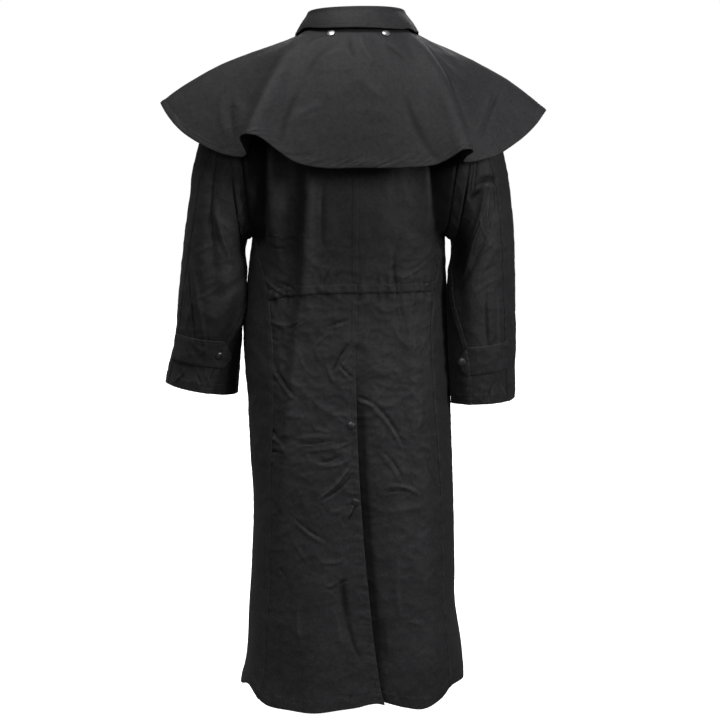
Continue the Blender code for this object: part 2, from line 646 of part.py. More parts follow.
def cape(direction, share):
    """A point of the cape's outer face: share runs from 0 at the neck to 1 at the hem."""
    hem_x, hem_y, hem_z, swell, fullest = between(CAPE_HEM, direction)
    turn = math.radians(direction)
    forward = max(0.0, -math.cos(turn))
    depth = CAPE_NECK_BACK if math.cos(turn) > 0 else CAPE_NECK_FRONT
    drop = CAPE_NECK_SIDE_DROP * math.sin(turn) ** 2 + CAPE_NECK_FRONT_DROP * forward**1.5
    neck_x = NECK_CENTRE + CAPE_NECK_HALF_WIDTH * math.sin(turn)
    neck = Vector((neck_x, depth * math.cos(turn), CAPE_NECK_HEIGHT - drop))
    hem = Vector((hem_x, hem_y, hem_z))
    chord = hem - neck
    level = Vector((chord.x, chord.y, 0))
    out = Vector((level.x, level.y, 0)).normalized() * -chord.z + Vector((0, 0, level.length))
    return neck + chord * share + out.normalized() * swell * math.sin(math.pi * share**fullest)


def build_cape(columns):
    """The cape, with more columns where its two back flutes turn."""
    directions = []
    for i in range(columns + 1):
        spot = -176 + 352 * i / columns
        pull = sum(7.0 * math.sin(math.pi * min(max((spot - c) / 44, -1), 1)) for c in (-60, 58))
        directions.append(spot - pull)
    grid = [[cape(d, f) for d in directions[::-1]] for f in CAPE_ROWS]
    cloth_object("cape", grid[::-1], WALL)


def neckline(direction):
    """The neck seam's point in a direction round the neck."""
    turn = math.radians(direction)
    share = abs(math.sin(turn)) * NECK_SHARE
    angle = math.degrees(math.asin(share ** (SQUARENESS / 2)))
    if math.cos(turn) < 0:
        angle = 180 - angle
    point, _ = body_plain(math.copysign(angle, direction), 0.0)
    return point


def build_collar(columns):
    """The collar's stand, inside the neck seam, and its fall, which rolls over and lies on the cape."""
    stand, fall = [[], []], [[] for _ in range(len(COLLAR_ROLL) + 2)]
    for direction in spread(COLLAR_REACH, -COLLAR_REACH, columns):
        base = neckline(direction)
        out_x, out_y = (base.x - NECK_CENTRE) / NECK_HALF_WIDTH**2, base.y / NECK_BACK_DEPTH**2
        out = Vector((out_x, out_y, 0)).normalized()
        top, reach, above = between(COLLAR, abs(direction))
        inset = COLLAR_INSET + (WALL + OVERLAP_GAP) * ramp(abs(direction), 115, 145)
        stand[0].append(base - out * inset)
        top -= COLLAR_TILT * math.sin(math.radians(direction))
        high = Vector((base.x, base.y, top)) - out * (COLLAR_LEAN + inset - COLLAR_INSET)
        stand[1].append(high)
        rolled = [high + out * away + Vector((0, 0, up)) for away, up in COLLAR_ROLL]
        edge = moved_out(cape, direction, reach, above, 2.0, 0.02)
        middle = rolled[-1].lerp(edge, 0.5) + out * 0.0015
        for row, point in zip(fall, [*rolled, middle, edge]):
            row.append(point)
    cloth_object("collar_stand", stand, WALL)
    cloth_object("collar_fall", fall[::-1], WALL)


def build_waist_channel():
    """The drawcord's channel, which lies on the back panels and is drawn into gathers."""
    columns = GATHERS * 4
    rows = []
    for f, puff in ((-1, 0.0), (0, 0.0012), (1, 0.0)):
        row = []
        for i in range(columns + 1):
            angle = CHANNEL_REACH - 2 * CHANNEL_REACH * i / columns
            height = between(CHANNEL_MIDDLE, angle)[0] + f * CHANNEL_HEIGHT / 2
            wave = GATHER_DEPTH * (0.5 - 0.5 * math.cos(math.tau * i / 4)) * (1 - 0.35 * abs(f))
            row.append(moved_out(body, angle, height, -(TRIM_WALL + LAYER_GAP + puff + wave)))
        rows.append(row)
    cloth_object("waist_channel", rows, TRIM_WALL)


def build_snap(name, point, normal):
    """A domed snap cap: a turned profile, standing on the cloth at the point."""
    profile = [
        (0.0, SNAP_HEIGHT),
        (SNAP_RADIUS * 0.62, SNAP_HEIGHT * 0.86),
        (SNAP_RADIUS * 0.94, SNAP_HEIGHT * 0.45),
        (SNAP_RADIUS, 0.0),
        (0.0, 0.0),
    ]
    mesh = bpy.data.meshes.new(name)
    mesh.from_pydata([(r, 0, z) for r, z in profile], [(i, i + 1) for i in range(len(profile) - 1)], [])
    mesh.materials.append(material(*METAL))
    snap = bpy.data.objects.new(name, mesh)
    coat.objects.link(snap)
    turned = snap.modifiers.new("turned", "SCREW")
    turned.steps = turned.render_steps = 14
    turned.use_merge_vertices = True
    turned.merge_threshold = 0.00001
    tilt = Vector((0, 0, 1)).rotation_difference(normal).to_matrix().to_4x4()
    snap.matrix_world = Matrix.Translation(point + normal * SNAP_STAND_OFF) @ tilt


def build_snaps():
    """The snaps of the vent, the front and the cape. Those of the cuffs come with their straps."""
    for word, x, height in (("upper", 0.0035, -0.745), ("lower", -0.0050, -0.887)):
        build_snap(f"vent_snap_{word}", *seat("back_left", body(body_angle(x, height), height)))
    for i, height in enumerate(FRONT_SNAP_HEIGHTS):
        build_snap(f"front_snap_{i + 1}", *seat("front_left", body(body_angle(0.0, height, -1), height)))
    for word, direction in (("left", 23), ("right", -28)):
        build_snap(f"cape_snap_{word}", *seat("cape", cape(direction, 0.085)))


def main():
    heights = panel_heights(11, 8)
    build_back(heights, 14)
    build_front(heights, 14)
    for side in (1, -1):
        build_sleeve(side, 7, 12)
        build_armhole_band(side, 7, 12)
        build_cuff_strap(side, 7, 12)
    build_cape(72)
    build_collar(28)
    build_waist_channel()
    build_snaps()


for old in list(bpy.data.objects):
    bpy.data.objects.remove(old)
grids = {}
coat = bpy.data.collections.new("duster_coat")
bpy.context.scene.collection.children.link(coat)
main()
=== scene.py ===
"""Looks of a long black waxed-cotton duster coat with a shoulder cape, standing hollow as it is worn.

Metres, +Z up, and the coat faces -Y, so its back is at +Y and its left side at +X.
Each cloth piece is a fine shell on the surface of its solid, with creases, seams, hems and stitches.
"""

import math

import bpy
import numpy as np
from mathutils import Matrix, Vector, noise


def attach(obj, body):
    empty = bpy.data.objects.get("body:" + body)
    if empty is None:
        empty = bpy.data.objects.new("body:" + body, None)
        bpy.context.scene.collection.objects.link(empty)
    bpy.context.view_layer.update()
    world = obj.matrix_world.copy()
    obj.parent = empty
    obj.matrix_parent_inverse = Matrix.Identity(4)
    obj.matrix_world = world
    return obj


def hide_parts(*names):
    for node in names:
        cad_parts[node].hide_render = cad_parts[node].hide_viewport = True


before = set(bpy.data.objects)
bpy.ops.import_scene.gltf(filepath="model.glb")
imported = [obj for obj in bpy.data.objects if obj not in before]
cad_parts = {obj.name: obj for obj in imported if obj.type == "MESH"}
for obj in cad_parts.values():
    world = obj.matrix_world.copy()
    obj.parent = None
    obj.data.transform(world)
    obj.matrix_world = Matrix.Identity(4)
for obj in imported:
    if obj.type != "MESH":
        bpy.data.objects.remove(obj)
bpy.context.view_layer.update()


def metres(rows, plain=()):
    """A table's rows with their millimetres made metres. The columns in plain aren't lengths."""
    return [tuple(value if k in plain else value / 1000 for k, value in enumerate(row)) for row in rows]


# Each side of the coat, and the columns that say where on a sleeve or the cape a row starts and ends
SIDES = {1: "left", -1: "right"}
PLACES = (0, 1, 2, 3)

# Cloth
WALL = 0.0018
TRIM_WALL = 0.0013
LAYER_GAP = 0.0007
OVERLAP_GAP = 0.0016
EDGE_STEPS = np.array([0, 0.0012, 0.0026, 0.0042, 0.006, 0.008, 0.0092, 0.0106, 0.0125, 0.0155, 0.0195])
FELL_WIDTH = 0.009
FELL_RISE = 0.0009
HEM_WIDTH, HEM_RISE = 0.021, 0.0005
# How deep a row of stitches sinks into a seam, and into a hem
FELL_SINK, HEM_SINK = 0.00035, 0.0004
# Rows of stitches: how far they lie from the edges of a seam, a trim, a strap and the cape, and stand proud
FELL_ROW, FELL_FAR_ROW, EDGE_ROW, STRAP_ROW, CAPE_ROW = 0.0018, 0.0016, 0.0022, 0.0065, 0.0085
STITCH_PITCH, STITCH_LENGTH, THREAD_RADIUS, STITCH_LIFT = 0.0036, 0.0029, 0.00036, 0.0001
TACK_PITCH, TACK_LENGTH, TACK_RADIUS, TACK_LIFT = 0.0011, 0.0014, 0.0003, 0.0002

# Body
HEM = -1.28
UNDERARM = -0.395
SQUARENESS = 2.4
NECK_HALF_WIDTH = 0.088
NECK_BACK_DEPTH = 0.078
NECK_FRONT_DEPTH = 0.085
NAPE_HEIGHT = -0.012
FRONT_NECK_DROP = 0.072
SHOULDER_TIP_X = 0.215
SHOULDER_TIP_HEIGHT = -0.088
ARMHOLE_HALF_DEPTH = 0.088
NECK_SHARE = NECK_HALF_WIDTH / SHOULDER_TIP_X
NECK_CENTRE = -0.008

# Body sections: height, middle, half width, depth at the back, depth at the front
BODY = metres([
    (-1280, 2, 222, 195, 178), (-1220, -2, 214, 190, 173), (-1120, 2, 204, 183, 167),
    (-1040, 0, 200.5, 177, 162), (-920, -1, 197, 168, 155), (-820, 3.5, 197.5, 160, 150),
    (-720, 7.5, 197.5, 150, 143), (-650, 11, 199, 142, 138), (-580, 13.5, 199.5, 132, 132),
    (-520, 12, 195, 126, 128), (-470, 11, 191, 126, 128), (-395, 8, 185, 130, 128),
])

# Hem line: angle round the body and height
HEM_LINE = metres([
    (-180, -1280), (-120, -1276), (-86, -1268), (-56, -1256), (-46, -1271), (-33, -1284), (-24, -1280),
    (-15, -1272), (-8, -1266), (1, -1276), (13, -1283.5), (28, -1284.5), (42, -1286), (50, -1279),
    (62, -1260), (75, -1272), (88, -1282), (120, -1280), (180, -1280),
], (0,))

# Side seam: height, then its share of the half width on the left and on the right
SIDE_SEAM = metres([
    (-1280, 0.81, 0.84), (-860, 0.77, 0.85), (-600, 0.7, 0.81), (-500, 0.78, 0.86), (-430, 0.92, 0.95),
    (-395, 1, 1),
], (1, 2))

# Centre back: height, and x of the left panel's edge, which is the seam down to the vent
VENT_TOP = -0.600
BACK_EDGE = metres([
    (-1280, -60), (-1250, -52), (-1160, -40), (-1070, -31), (-955, -20), (-770, -9), (-600, -6),
    (-250, -7), (0, 0),
])
VENT_STEP = 0.022
VENT_UNDERLAP = 0.052
VENT_SHADOW_DEPTH = 0.013
VENT_SHADOW_REACH = 0.045
FRONT_OVERLAP = 0.032
# How far from the edge the vent's and the front's under panels come up again
VENT_FADE, FRONT_FADE = 0.016, 0.012
GAP_ANGLE = 0.10
SLEEVE_GAP_ANGLE = 0.13

# Folds: face (1 back, -1 front), x and height where it starts and ends, its half breadth, its rise
BODY_FOLDS = metres([
    (1, 148, -200, 150, -400, 16, 12), (1, 172, -160, 176, -410, 14, -26), (1, 83, -200, 91, -560, 20, 9),
    (1, 112, -200, 116, -500, 22, -9), (1, 100, -620, 150, -1000, 26, 7),
    (1, -128, -200, -150, -430, 16, 8), (1, -152, -150, -165, -410, 13, -26),
    (1, -120, -600, -150, -1200, 26, 6), (1, 60, -1000, 85, -1360, 40, 8),
    (1, -135, -1020, -155, -1360, 36, 8), (-1, 110, -550, 135, -1360, 34, 12),
    (-1, -110, -550, -130, -1360, 34, 12), (-1, 76, -800, 80, -1360, 22, -7),
    (-1, -74, -800, -78, -1360, 22, -7), (-1, 150, -220, 160, -420, 16, -16),
    (-1, -146, -220, -156, -420, 16, -16),
], (0,))

# Sleeve rings: share of the length, the underarm side's x and height, the outer side's x and height,
# the middle's y, half the depth front to back, how far back the underarm side leans
SLEEVE_CLEARANCE = 0.0034
SLEEVE_RISE = 0.002
SLEEVE_LENGTH = 0.62
SLEEVE_RINGS = {
    1: metres([
        (0, 194.5, -395, 216.5, -88, 0, 88, 0), (0.08, 199, -399, 248, -120, 0, 86, 4),
        (0.17, 203, -405, 276, -186, 0, 84, 10), (0.27, 206, -415, 302, -262, -2, 81, 16),
        (0.37, 208, -433, 315, -345, -4, 78, 22), (0.48, 204, -465, 327, -425, -8, 76, 34),
        (0.59, 201, -512, 335.5, -498, -13, 75, 44), (0.69, 206, -560, 341, -558, -18, 74, 42),
        (0.79, 217.5, -608, 348, -606, -23, 74, 28), (0.89, 223.5, -655, 358, -646, -28, 75, 14),
        (1, 229.5, -708, 368, -686, -34, 78, 10),
    ], (0,)),
    -1: metres([
        (0, 178.5, -395, 216.5, -88, 0, 88, 0), (0.08, 183.5, -399, 246, -120, 0, 86, 4),
        (0.17, 187.5, -405, 272, -186, 0, 84, 10), (0.27, 189.5, -415, 292, -262, -2, 81, 16),
        (0.37, 189, -433, 304, -345, -4, 78, 28), (0.48, 183, -465, 311, -428, -8, 76, 44),
        (0.59, 180, -512, 314.5, -502, -13, 75, 56), (0.69, 180, -562, 316.5, -562, -18, 74, 60),
        (0.79, 181, -613, 317, -613, -23, 73, 60), (0.89, 182, -664, 317.5, -664, -28, 73, 58),
        (1, 185, -718, 317, -718, -34, 74, 54),
    ], (0,)),
}
# Seams of a sleeve, the left one first: share of the length, the outer seam's and the inner seam's angle
SLEEVE_SEAMS = {
    1: [(0.00, 50, 172), (0.30, 48, 176), (0.60, 34, 170), (0.78, 29, 128), (1.00, 27, 104)],
    -1: [(0.00, 62, 172), (0.30, 58, 176), (0.60, 53, 150), (0.80, 49, 118), (1.00, 42, 113)],
}
# Folds of a sleeve: share and angle where it starts and ends, its half breadth, its rise
SLEEVE_FOLDS = {
    1: metres([
        (0.14, 74, 0.62, 100, 13, -6), (0.28, 88, 0.44, 128, 10, 5), (0.52, 150, 0.62, 90, 14, -4),
        (0.5, -60, 0.6, -140, 16, -6), (0.3, -80, 0.62, -60, 18, 5),
    ], PLACES),
    -1: metres([
        (0.22, 76, 0.4, 118, 12, 6), (0.34, 80, 0.52, 124, 10, -6), (0.5, -60, 0.6, -140, 16, -6),
        (0.3, -80, 0.62, -60, 18, 5),
    ], PLACES),
}
# How many metres of cloth go to one degree round a sleeve, round its trims and round the back
ARC_PER_DEGREE, TRIM_ARC, BACK_ARC = 0.00125, 0.0015, 0.0024

# Cape: direction round the neck (0 back, 90 left), the hem's x, y and height there, the outward swell,
# and the power that sets where the swell is fullest
CAPE_NECK_HALF_WIDTH = 0.100
CAPE_NECK_BACK = 0.0845
CAPE_NECK_FRONT = 0.096
CAPE_NECK_HEIGHT = -0.0105
CAPE_NECK_SIDE_DROP = 0.0040
CAPE_NECK_FRONT_DROP = 0.074
CAPE_REACH = 176
CAPE_HEM = metres([
    (-176, -14, -200, -272, 9, 0.8), (-164, -72, -200, -270, 11, 0.8), (-152, -127, -198, -262, 16, 0.8),
    (-142, -172, -208, -246, 20, 0.8), (-132, -212, -186, -246, 24, 0.8),
    (-120, -272, -156, -226, 22, 0.85), (-107, -330, -100, -196, 17, 0.9),
    (-98, -365, -45, -170, 16, 1.2), (-92, -369, -2, -160, 16, 1.3), (-88, -346, 30, -189, 21, 1.1),
    (-84, -314.5, 60, -216.5, 25, 0.85), (-79, -270, 100, -245, 28, 0.8),
    (-73, -240, 117, -254.5, 30, 0.8), (-69.5, -216, 127, -259, 31, 0.78),
    (-67, -203, 140, -258, 31, 0.75), (-64.5, -207, 165, -250, 30, 0.75),
    (-62, -217.5, 186, -241, 29, 0.75), (-59.5, -211, 199, -236, 29, 0.75),
    (-56, -194.5, 202, -238.5, 30, 0.75), (-51, -175.5, 199, -251, 31, 0.75),
    (-45, -147, 195, -264.6, 31, 0.75), (-32, -98.7, 193, -269.5, 32, 0.75),
    (-16, -50, 192, -270, 32, 0.75), (0, 0, 190, -270, 32, 0.75), (16, 50, 192, -270, 32, 0.75),
    (32, 100, 193, -260.5, 31, 0.75), (43, 135, 197, -238, 29, 0.75), (50, 165, 204, -215.5, 27, 0.75),
    (55, 188, 203, -210.5, 26, 0.75), (58.5, 200.5, 188, -217, 27, 0.75),
    (61.5, 196, 160, -232, 28, 0.75), (64.5, 193, 136, -245, 30, 0.8), (68, 207.6, 124, -250.5, 30, 0.85),
    (73, 245, 113, -242.5, 26, 0.9), (79, 291.6, 90, -220, 20, 1), (84, 325, 62, -197.3, 16, 1.1),
    (88, 350, 30, -171.3, 15, 1.4), (92, 367, -2, -147, 14, 1.55), (98, 363, -45, -158, 14, 1.4),
    (107, 330, -100, -188, 14, 1), (120, 272, -156, -222, 21, 0.9), (132, 212, -186, -244, 24, 0.8),
    (142, 172, -208, -246, 20, 0.8), (152, 123, -198, -262, 16, 0.8), (164, 66, -200, -270, 11, 0.8),
    (176, 6, -200, -272, 9, 0.8),
], (0, 5))

# Collar: direction round the neck, height of its top edge, share of the cape's length that its fall
# reaches down to, how far the fall's edge stands above the cape
COLLAR = metres([
    (0, 20.5, 0.06, 8), (60, 20, 0.06, 6), (90, 16.5, 0.055, 4), (110, 4, 0.09, 4), (125, -12, 0.14, 4),
    (150, -43, 0.22, 4.5), (168, -56, 0.27, 5),
], (0, 2))
COLLAR_REACH = 168
COLLAR_LEAN = 0.004
COLLAR_INSET = 0.0032
COLLAR_TILT = 0.0015
# The roll at the top of the collar: how far out of the stand and how far above its top edge
COLLAR_ROLL = metres([
    (0, 0.6), (3, 4), (7.8, 3.4), (11.5, -3.4),
])

# Waist channel for the drawcord
CHANNEL_HEIGHT = 0.019
CHANNEL_MIDDLE = [(-95, -0.492), (0, -0.492), (30, -0.498), (50, -0.510), (95, -0.512)]
CHANNEL_REACH = 68
GATHERS = 27
GATHER_DEPTH = 0.0022

# Cuff straps: share of the sleeve's length at the middle, half height, how far it drops to its tip, how
# many degrees the tip runs past the inner seam, the snap's angle
STRAPS = {1: (0.822, 0.0362, 0.018, 19.4, 118), -1: (0.826, 0.0330, 0.012, 18.2, 127)}
BAND_WIDTH = 0.026
# How far above the gap between layers the bands, the straps and the channel lie
BAND_SEAT, STRAP_SEAT, CHANNEL_SEAT = 0.0006, 0.0008, 0.0006

# Snap fasteners
SNAP_RADIUS = 0.0076
SNAP_HEIGHT = 0.0030
SNAP_LIFT = 0.0004
FRONT_SNAP_HEIGHTS = (-0.33, -0.46, -0.59, -0.72, -0.85)
VENT_SNAPS = {"upper": (0.0035, -0.745), "lower": (-0.0050, -0.887)}
CAPE_SNAPS = {"left": 23, "right": -28}
CAPE_SNAP_SHARE = 0.085


def between(table, key):
    """The other columns of a table at each key, on a smooth curve through its rows."""
    rows = np.array(table, float)
    keys, values = rows[:, 0], rows[:, 1:]
    places = np.arange(len(keys))
    before, after = np.maximum(places - 1, 0), np.minimum(places + 1, len(keys) - 1)
    slopes = (values[after] - values[before]) / (keys[after] - keys[before])[:, None]
    key = np.clip(np.asarray(key, float), keys[0], keys[-1])
    i = np.clip(np.searchsorted(keys, key, side="right") - 1, 0, len(keys) - 2)
    span = (keys[i + 1] - keys[i])[..., None]
    f = (key - keys[i])[..., None] / span
    start = (1 + 2 * f) * (1 - f) ** 2 * values[i] + f * (1 - f) ** 2 * span * slopes[i]
    end = f * f * (3 - 2 * f) * values[i + 1] - f * f * (1 - f) * span * slopes[i + 1]
    return np.moveaxis(start + end, -1, 0)


def ramp(value, low, high):
    """0 up to low, 1 from high, and smooth between."""
    f = np.clip((value - low) / (high - low), 0, 1)
    return f * f * (3 - 2 * f)


def unit(vectors):
    return vectors / np.maximum(np.linalg.norm(vectors, axis=-1, keepdims=True), 1e-12)


def stack(x, y, z):
    return np.stack(np.broadcast_arrays(x, y, z), -1)


def lengths(points, axis):
    """How far each point of a grid is from its row's or column's first point, along the grid."""
    steps = np.linalg.norm(np.diff(points, axis=axis), axis=-1)
    start = np.zeros_like(np.take(steps, [0], axis=axis))
    return np.cumsum(np.concatenate([start, steps], axis=axis), axis=axis)


def fold_rise(u, v, fold):
    """How far a broad fold along a line lifts the cloth at (u, v)."""
    u0, v0, u1, v1, breadth, rise = fold
    du, dv = u1 - u0, v1 - v0
    held = np.clip(((u - u0) * du + (v - v0) * dv) / (du * du + dv * dv), 0, 1)
    away = np.hypot(u - u0 - held * du, v - v0 - held * dv)
    return rise * np.sin(np.pi * (0.12 + 0.76 * held)) * np.exp(-((away / breadth) ** 2))


def body_plain(angle, height):
    """The body without folds: its points and the level directions out of it."""
    angle, height = np.broadcast_arrays(np.asarray(angle, float), np.asarray(height, float))
    angle = (angle + 180) % 360 - 180
    side = np.where(angle < 0, -1.0, 1.0)
    face = np.where(np.abs(angle) < 90, 1.0, -1.0)
    turn = np.radians(np.abs(angle))
    centre, half, back, front = between(BODY, np.minimum(height, UNDERARM))
    share = np.abs(np.sin(turn)) ** (2 / SQUARENESS)
    inward = face * np.abs(np.cos(turn)) ** (2 / SQUARENESS)
    depth = np.where(inward > 0, back, front)
    x, y = centre + side * half * share, depth * inward
    out_y = face * np.abs(inward) ** (SQUARENESS - 1) / depth
    out = unit(stack(side * share ** (SQUARENESS - 1) / half, out_y, 0.0))
    lift = (between(HEM_LINE, angle)[0] - HEM) * ramp(-height, 1.05, 1.28)
    low = stack(x, y, height + lift)
    rise = np.clip(1 - height / UNDERARM, 0, 1)
    curve = np.sqrt(np.clip(1 - (share / NECK_SHARE) ** 2, 0, None))
    outward = (share - NECK_SHARE) / (1 - NECK_SHARE)
    neck_y = curve * np.where(face > 0, NECK_BACK_DEPTH, -NECK_FRONT_DEPTH)
    neck_z = NAPE_HEIGHT - np.where(face > 0, 0, FRONT_NECK_DROP * curve**1.4)
    shoulder_z = NAPE_HEIGHT + (SHOULDER_TIP_HEIGHT - NAPE_HEIGHT) * outward
    top_y = np.where(share < NECK_SHARE, neck_y, 0)
    top_z = np.where(share < NECK_SHARE, neck_z, shoulder_z)
    arch = (1 - rise**2.2) ** 0.72
    round_hole = np.sqrt(np.clip(1 - (2 * rise - 1) ** 2, 0, None))
    blend = share**18
    hole = share**6 * ((1 - blend) * np.sin(np.pi * rise) * 0.8 + blend * round_hole)
    top_x = side * SHOULDER_TIP_X * share + NECK_CENTRE * (1 - share**2)
    high_y = top_y + (y - top_y) * arch + face * (ARMHOLE_HALF_DEPTH * hole + 0.00015)
    high = stack((1 - rise) * x + rise * top_x, high_y, UNDERARM + (top_z - UNDERARM) * rise)
    return np.where((height <= UNDERARM)[..., None], low, high), out


def body(angle, height, sink=None):
    """Points of the body's outer face, with its folds. sink lowers a panel that runs under another."""
    point, out = body_plain(angle, height)
    angle = (np.asarray(angle) + 180) % 360 - 180
    x, z = point[..., 0], point[..., 2]
    rise = np.zeros_like(x)
    for face, *fold in BODY_FOLDS:
        own = (np.abs(angle) < 90) == (face > 0)
        rise += own * fold_rise(x, z, fold)
    beside = np.abs(90 - np.abs(angle))
    fade = ramp(UNDERARM + 0.25 - z, 0, 0.08) * ramp(beside, 4, 22)
    low = ramp(UNDERARM - 0.02 - z, 0, 0.06) * ramp(beside, 0, 12)
    rise = rise * np.where(z < UNDERARM - 0.02, np.maximum(fade, low), fade)
    if sink:
        rise = rise - sink(point)
    return point + out * rise[..., None]


def body_angle(x, height, face=1):
    """The angle at which the body has this x at this height."""
    centre, half, _, _ = between(BODY, np.minimum(height, UNDERARM))
    rise = np.clip(1 - height / UNDERARM, 0, None)
    middle = (1 - rise) * centre + rise * NECK_CENTRE
    reach = (1 - rise) * half + rise * SHOULDER_TIP_X
    share = np.minimum(np.abs(x - middle) / reach, 1)
    turn = np.degrees(np.arcsin(share ** (SQUARENESS / 2)))
    return np.copysign(turn if face > 0 else 180 - turn, x - middle)


def seam_angle(side, height, face=1):
    """A side seam's angle at each height. Above the underarm, the front and the back have each their own."""
    share = between(SIDE_SEAM, height)[0 if side > 0 else 1]
    low = np.degrees(np.arcsin(np.minimum(share, 1) ** (SQUARENESS / 2)))
    return np.where(height >= UNDERARM, 90.0 - face * GAP_ANGLE, low)


def vent_sink(point):
    """How far the right back panel lies under the left one at the vent, and the hollow beside its edge."""
    x, z = point[..., 0], point[..., 2]
    edge = between(BACK_EDGE, z)[0]
    low = ramp(VENT_TOP + VENT_STEP - z, 0, VENT_STEP)
    near = np.exp(-((np.clip(edge - x, 0, None) / VENT_FADE) ** 2))
    deep = ramp(-z, 0.68, 0.95) * VENT_SHADOW_DEPTH
    hollow = np.exp(-((np.clip(edge - x, 0, None) / VENT_SHADOW_REACH) ** 2))
    return low * (WALL + OVERLAP_GAP) * near + deep * hollow


def front_sink(point):
    """How far the right front panel lies under the left one."""
    edge = NECK_CENTRE * ramp(point[..., 2], -0.25, -0.08) - FRONT_OVERLAP / 2
    away = np.clip(edge - point[..., 0], 0, None)
    return (WALL + OVERLAP_GAP) * np.exp(-((away / FRONT_FADE) ** 2))


def beside_body(side, y, z):
    """The least distance from the middle plane at which a sleeve's points clear the body at its side."""
    centre, half, back, front = between(BODY, np.minimum(z, UNDERARM))
    reach = np.minimum(np.abs(y) / np.where(y > 0, back, front), 1)
    clear = side * centre + half * (1 - reach**SQUARENESS) ** (1 / SQUARENESS) + SLEEVE_CLEARANCE
    return np.where(z > UNDERARM - 0.012, 0, clear)


def on_cloth(row):
    """A row of a sleeve's table, with its shares and angles made lengths on the cloth."""
    scale = (SLEEVE_LENGTH, ARC_PER_DEGREE) * 2
    return [value * each for value, each in zip(row, scale)] + list(row[4:])


def sleeve(side):
    """A sleeve's surface: points of its outer face for an angle round it and a share of its length."""

    def surface(angle, share):
        angle, share = np.broadcast_arrays(np.asarray(angle, float), np.asarray(share, float))
        rings = between(SLEEVE_RINGS[side], share)
        under_x, under_z, outer_x, outer_z, middle_y, half_depth, lean = rings
        turn = np.radians(angle)
        middle = stack((under_x + outer_x) / 2, middle_y, (under_z + outer_z) / 2)
        reach = stack((outer_x - under_x) / 2, 0.0, (outer_z - under_z) / 2)
        level = half_depth * np.sin(turn) + lean * (0.5 - 0.5 * np.cos(turn))
        spot = middle + reach * np.cos(turn)[..., None] + stack(0.0, level, 0.0)
        out = unit(reach) * np.cos(turn)[..., None] + stack(0.0, np.sin(turn), 0.0)
        wrapped = np.where(angle > 180, angle - 360, angle) * ARC_PER_DEGREE
        rise = np.full_like(wrapped, SLEEVE_RISE)
        for fold in SLEEVE_FOLDS[side]:
            rise += fold_rise(share * SLEEVE_LENGTH, wrapped, on_cloth(fold))
        spot = spot + unit(out) * rise[..., None]
        clear = np.maximum(spot[..., 0], beside_body(side, spot[..., 1], spot[..., 2]))
        return stack(side * clear, spot[..., 1], spot[..., 2])

    return surface


def cape(direction, share):
    """Points of the cape's outer face: share runs from 0 at the neck to 1 at the hem."""
    direction, share = np.broadcast_arrays(np.asarray(direction, float), np.asarray(share, float))
    hem_x, hem_y, hem_z, swell, fullest = between(CAPE_HEM, direction)
    turn = np.radians(direction)
    forward = np.clip(-np.cos(turn), 0, None)
    depth = np.where(np.cos(turn) > 0, CAPE_NECK_BACK, CAPE_NECK_FRONT)
    drop = CAPE_NECK_SIDE_DROP * np.sin(turn) ** 2 + CAPE_NECK_FRONT_DROP * forward**1.5
    neck_x = NECK_CENTRE + CAPE_NECK_HALF_WIDTH * np.sin(turn)
    neck = stack(neck_x, depth * np.cos(turn), CAPE_NECK_HEIGHT - drop)
    chord = stack(hem_x, hem_y, hem_z) - neck
    level = unit(stack(chord[..., 0], chord[..., 1], 0.0))
    run = np.hypot(chord[..., 0], chord[..., 1])
    out = unit(level * -chord[..., 2:] + stack(0.0, 0.0, run))
    arch = swell * np.sin(np.pi * share**fullest)
    return neck + chord * share[..., None] + out * arch[..., None]


def neckline(direction):
    """The neck seam's points in directions round the neck."""
    turn = np.radians(direction)
    share = np.abs(np.sin(turn)) * NECK_SHARE
    angle = np.degrees(np.arcsin(share ** (SQUARENESS / 2)))
    angle = np.where(np.cos(turn) < 0, 180 - angle, angle)
    return body_plain(np.copysign(angle, direction), 0.0)[0]


# Long soft ridges of the back, which part its lit middle from its sides: start, end, half breadth, rise
SOFT_RIDGES = metres([
    (78, -180, 90, -500, 11, 5), (88, -420, 122, -760, 11, 5), (116, -660, 140, -960, 12, 3),
    (100, -200, 108, -520, 14, -4), (-100, -400, -118, -800, 16, 3),
])
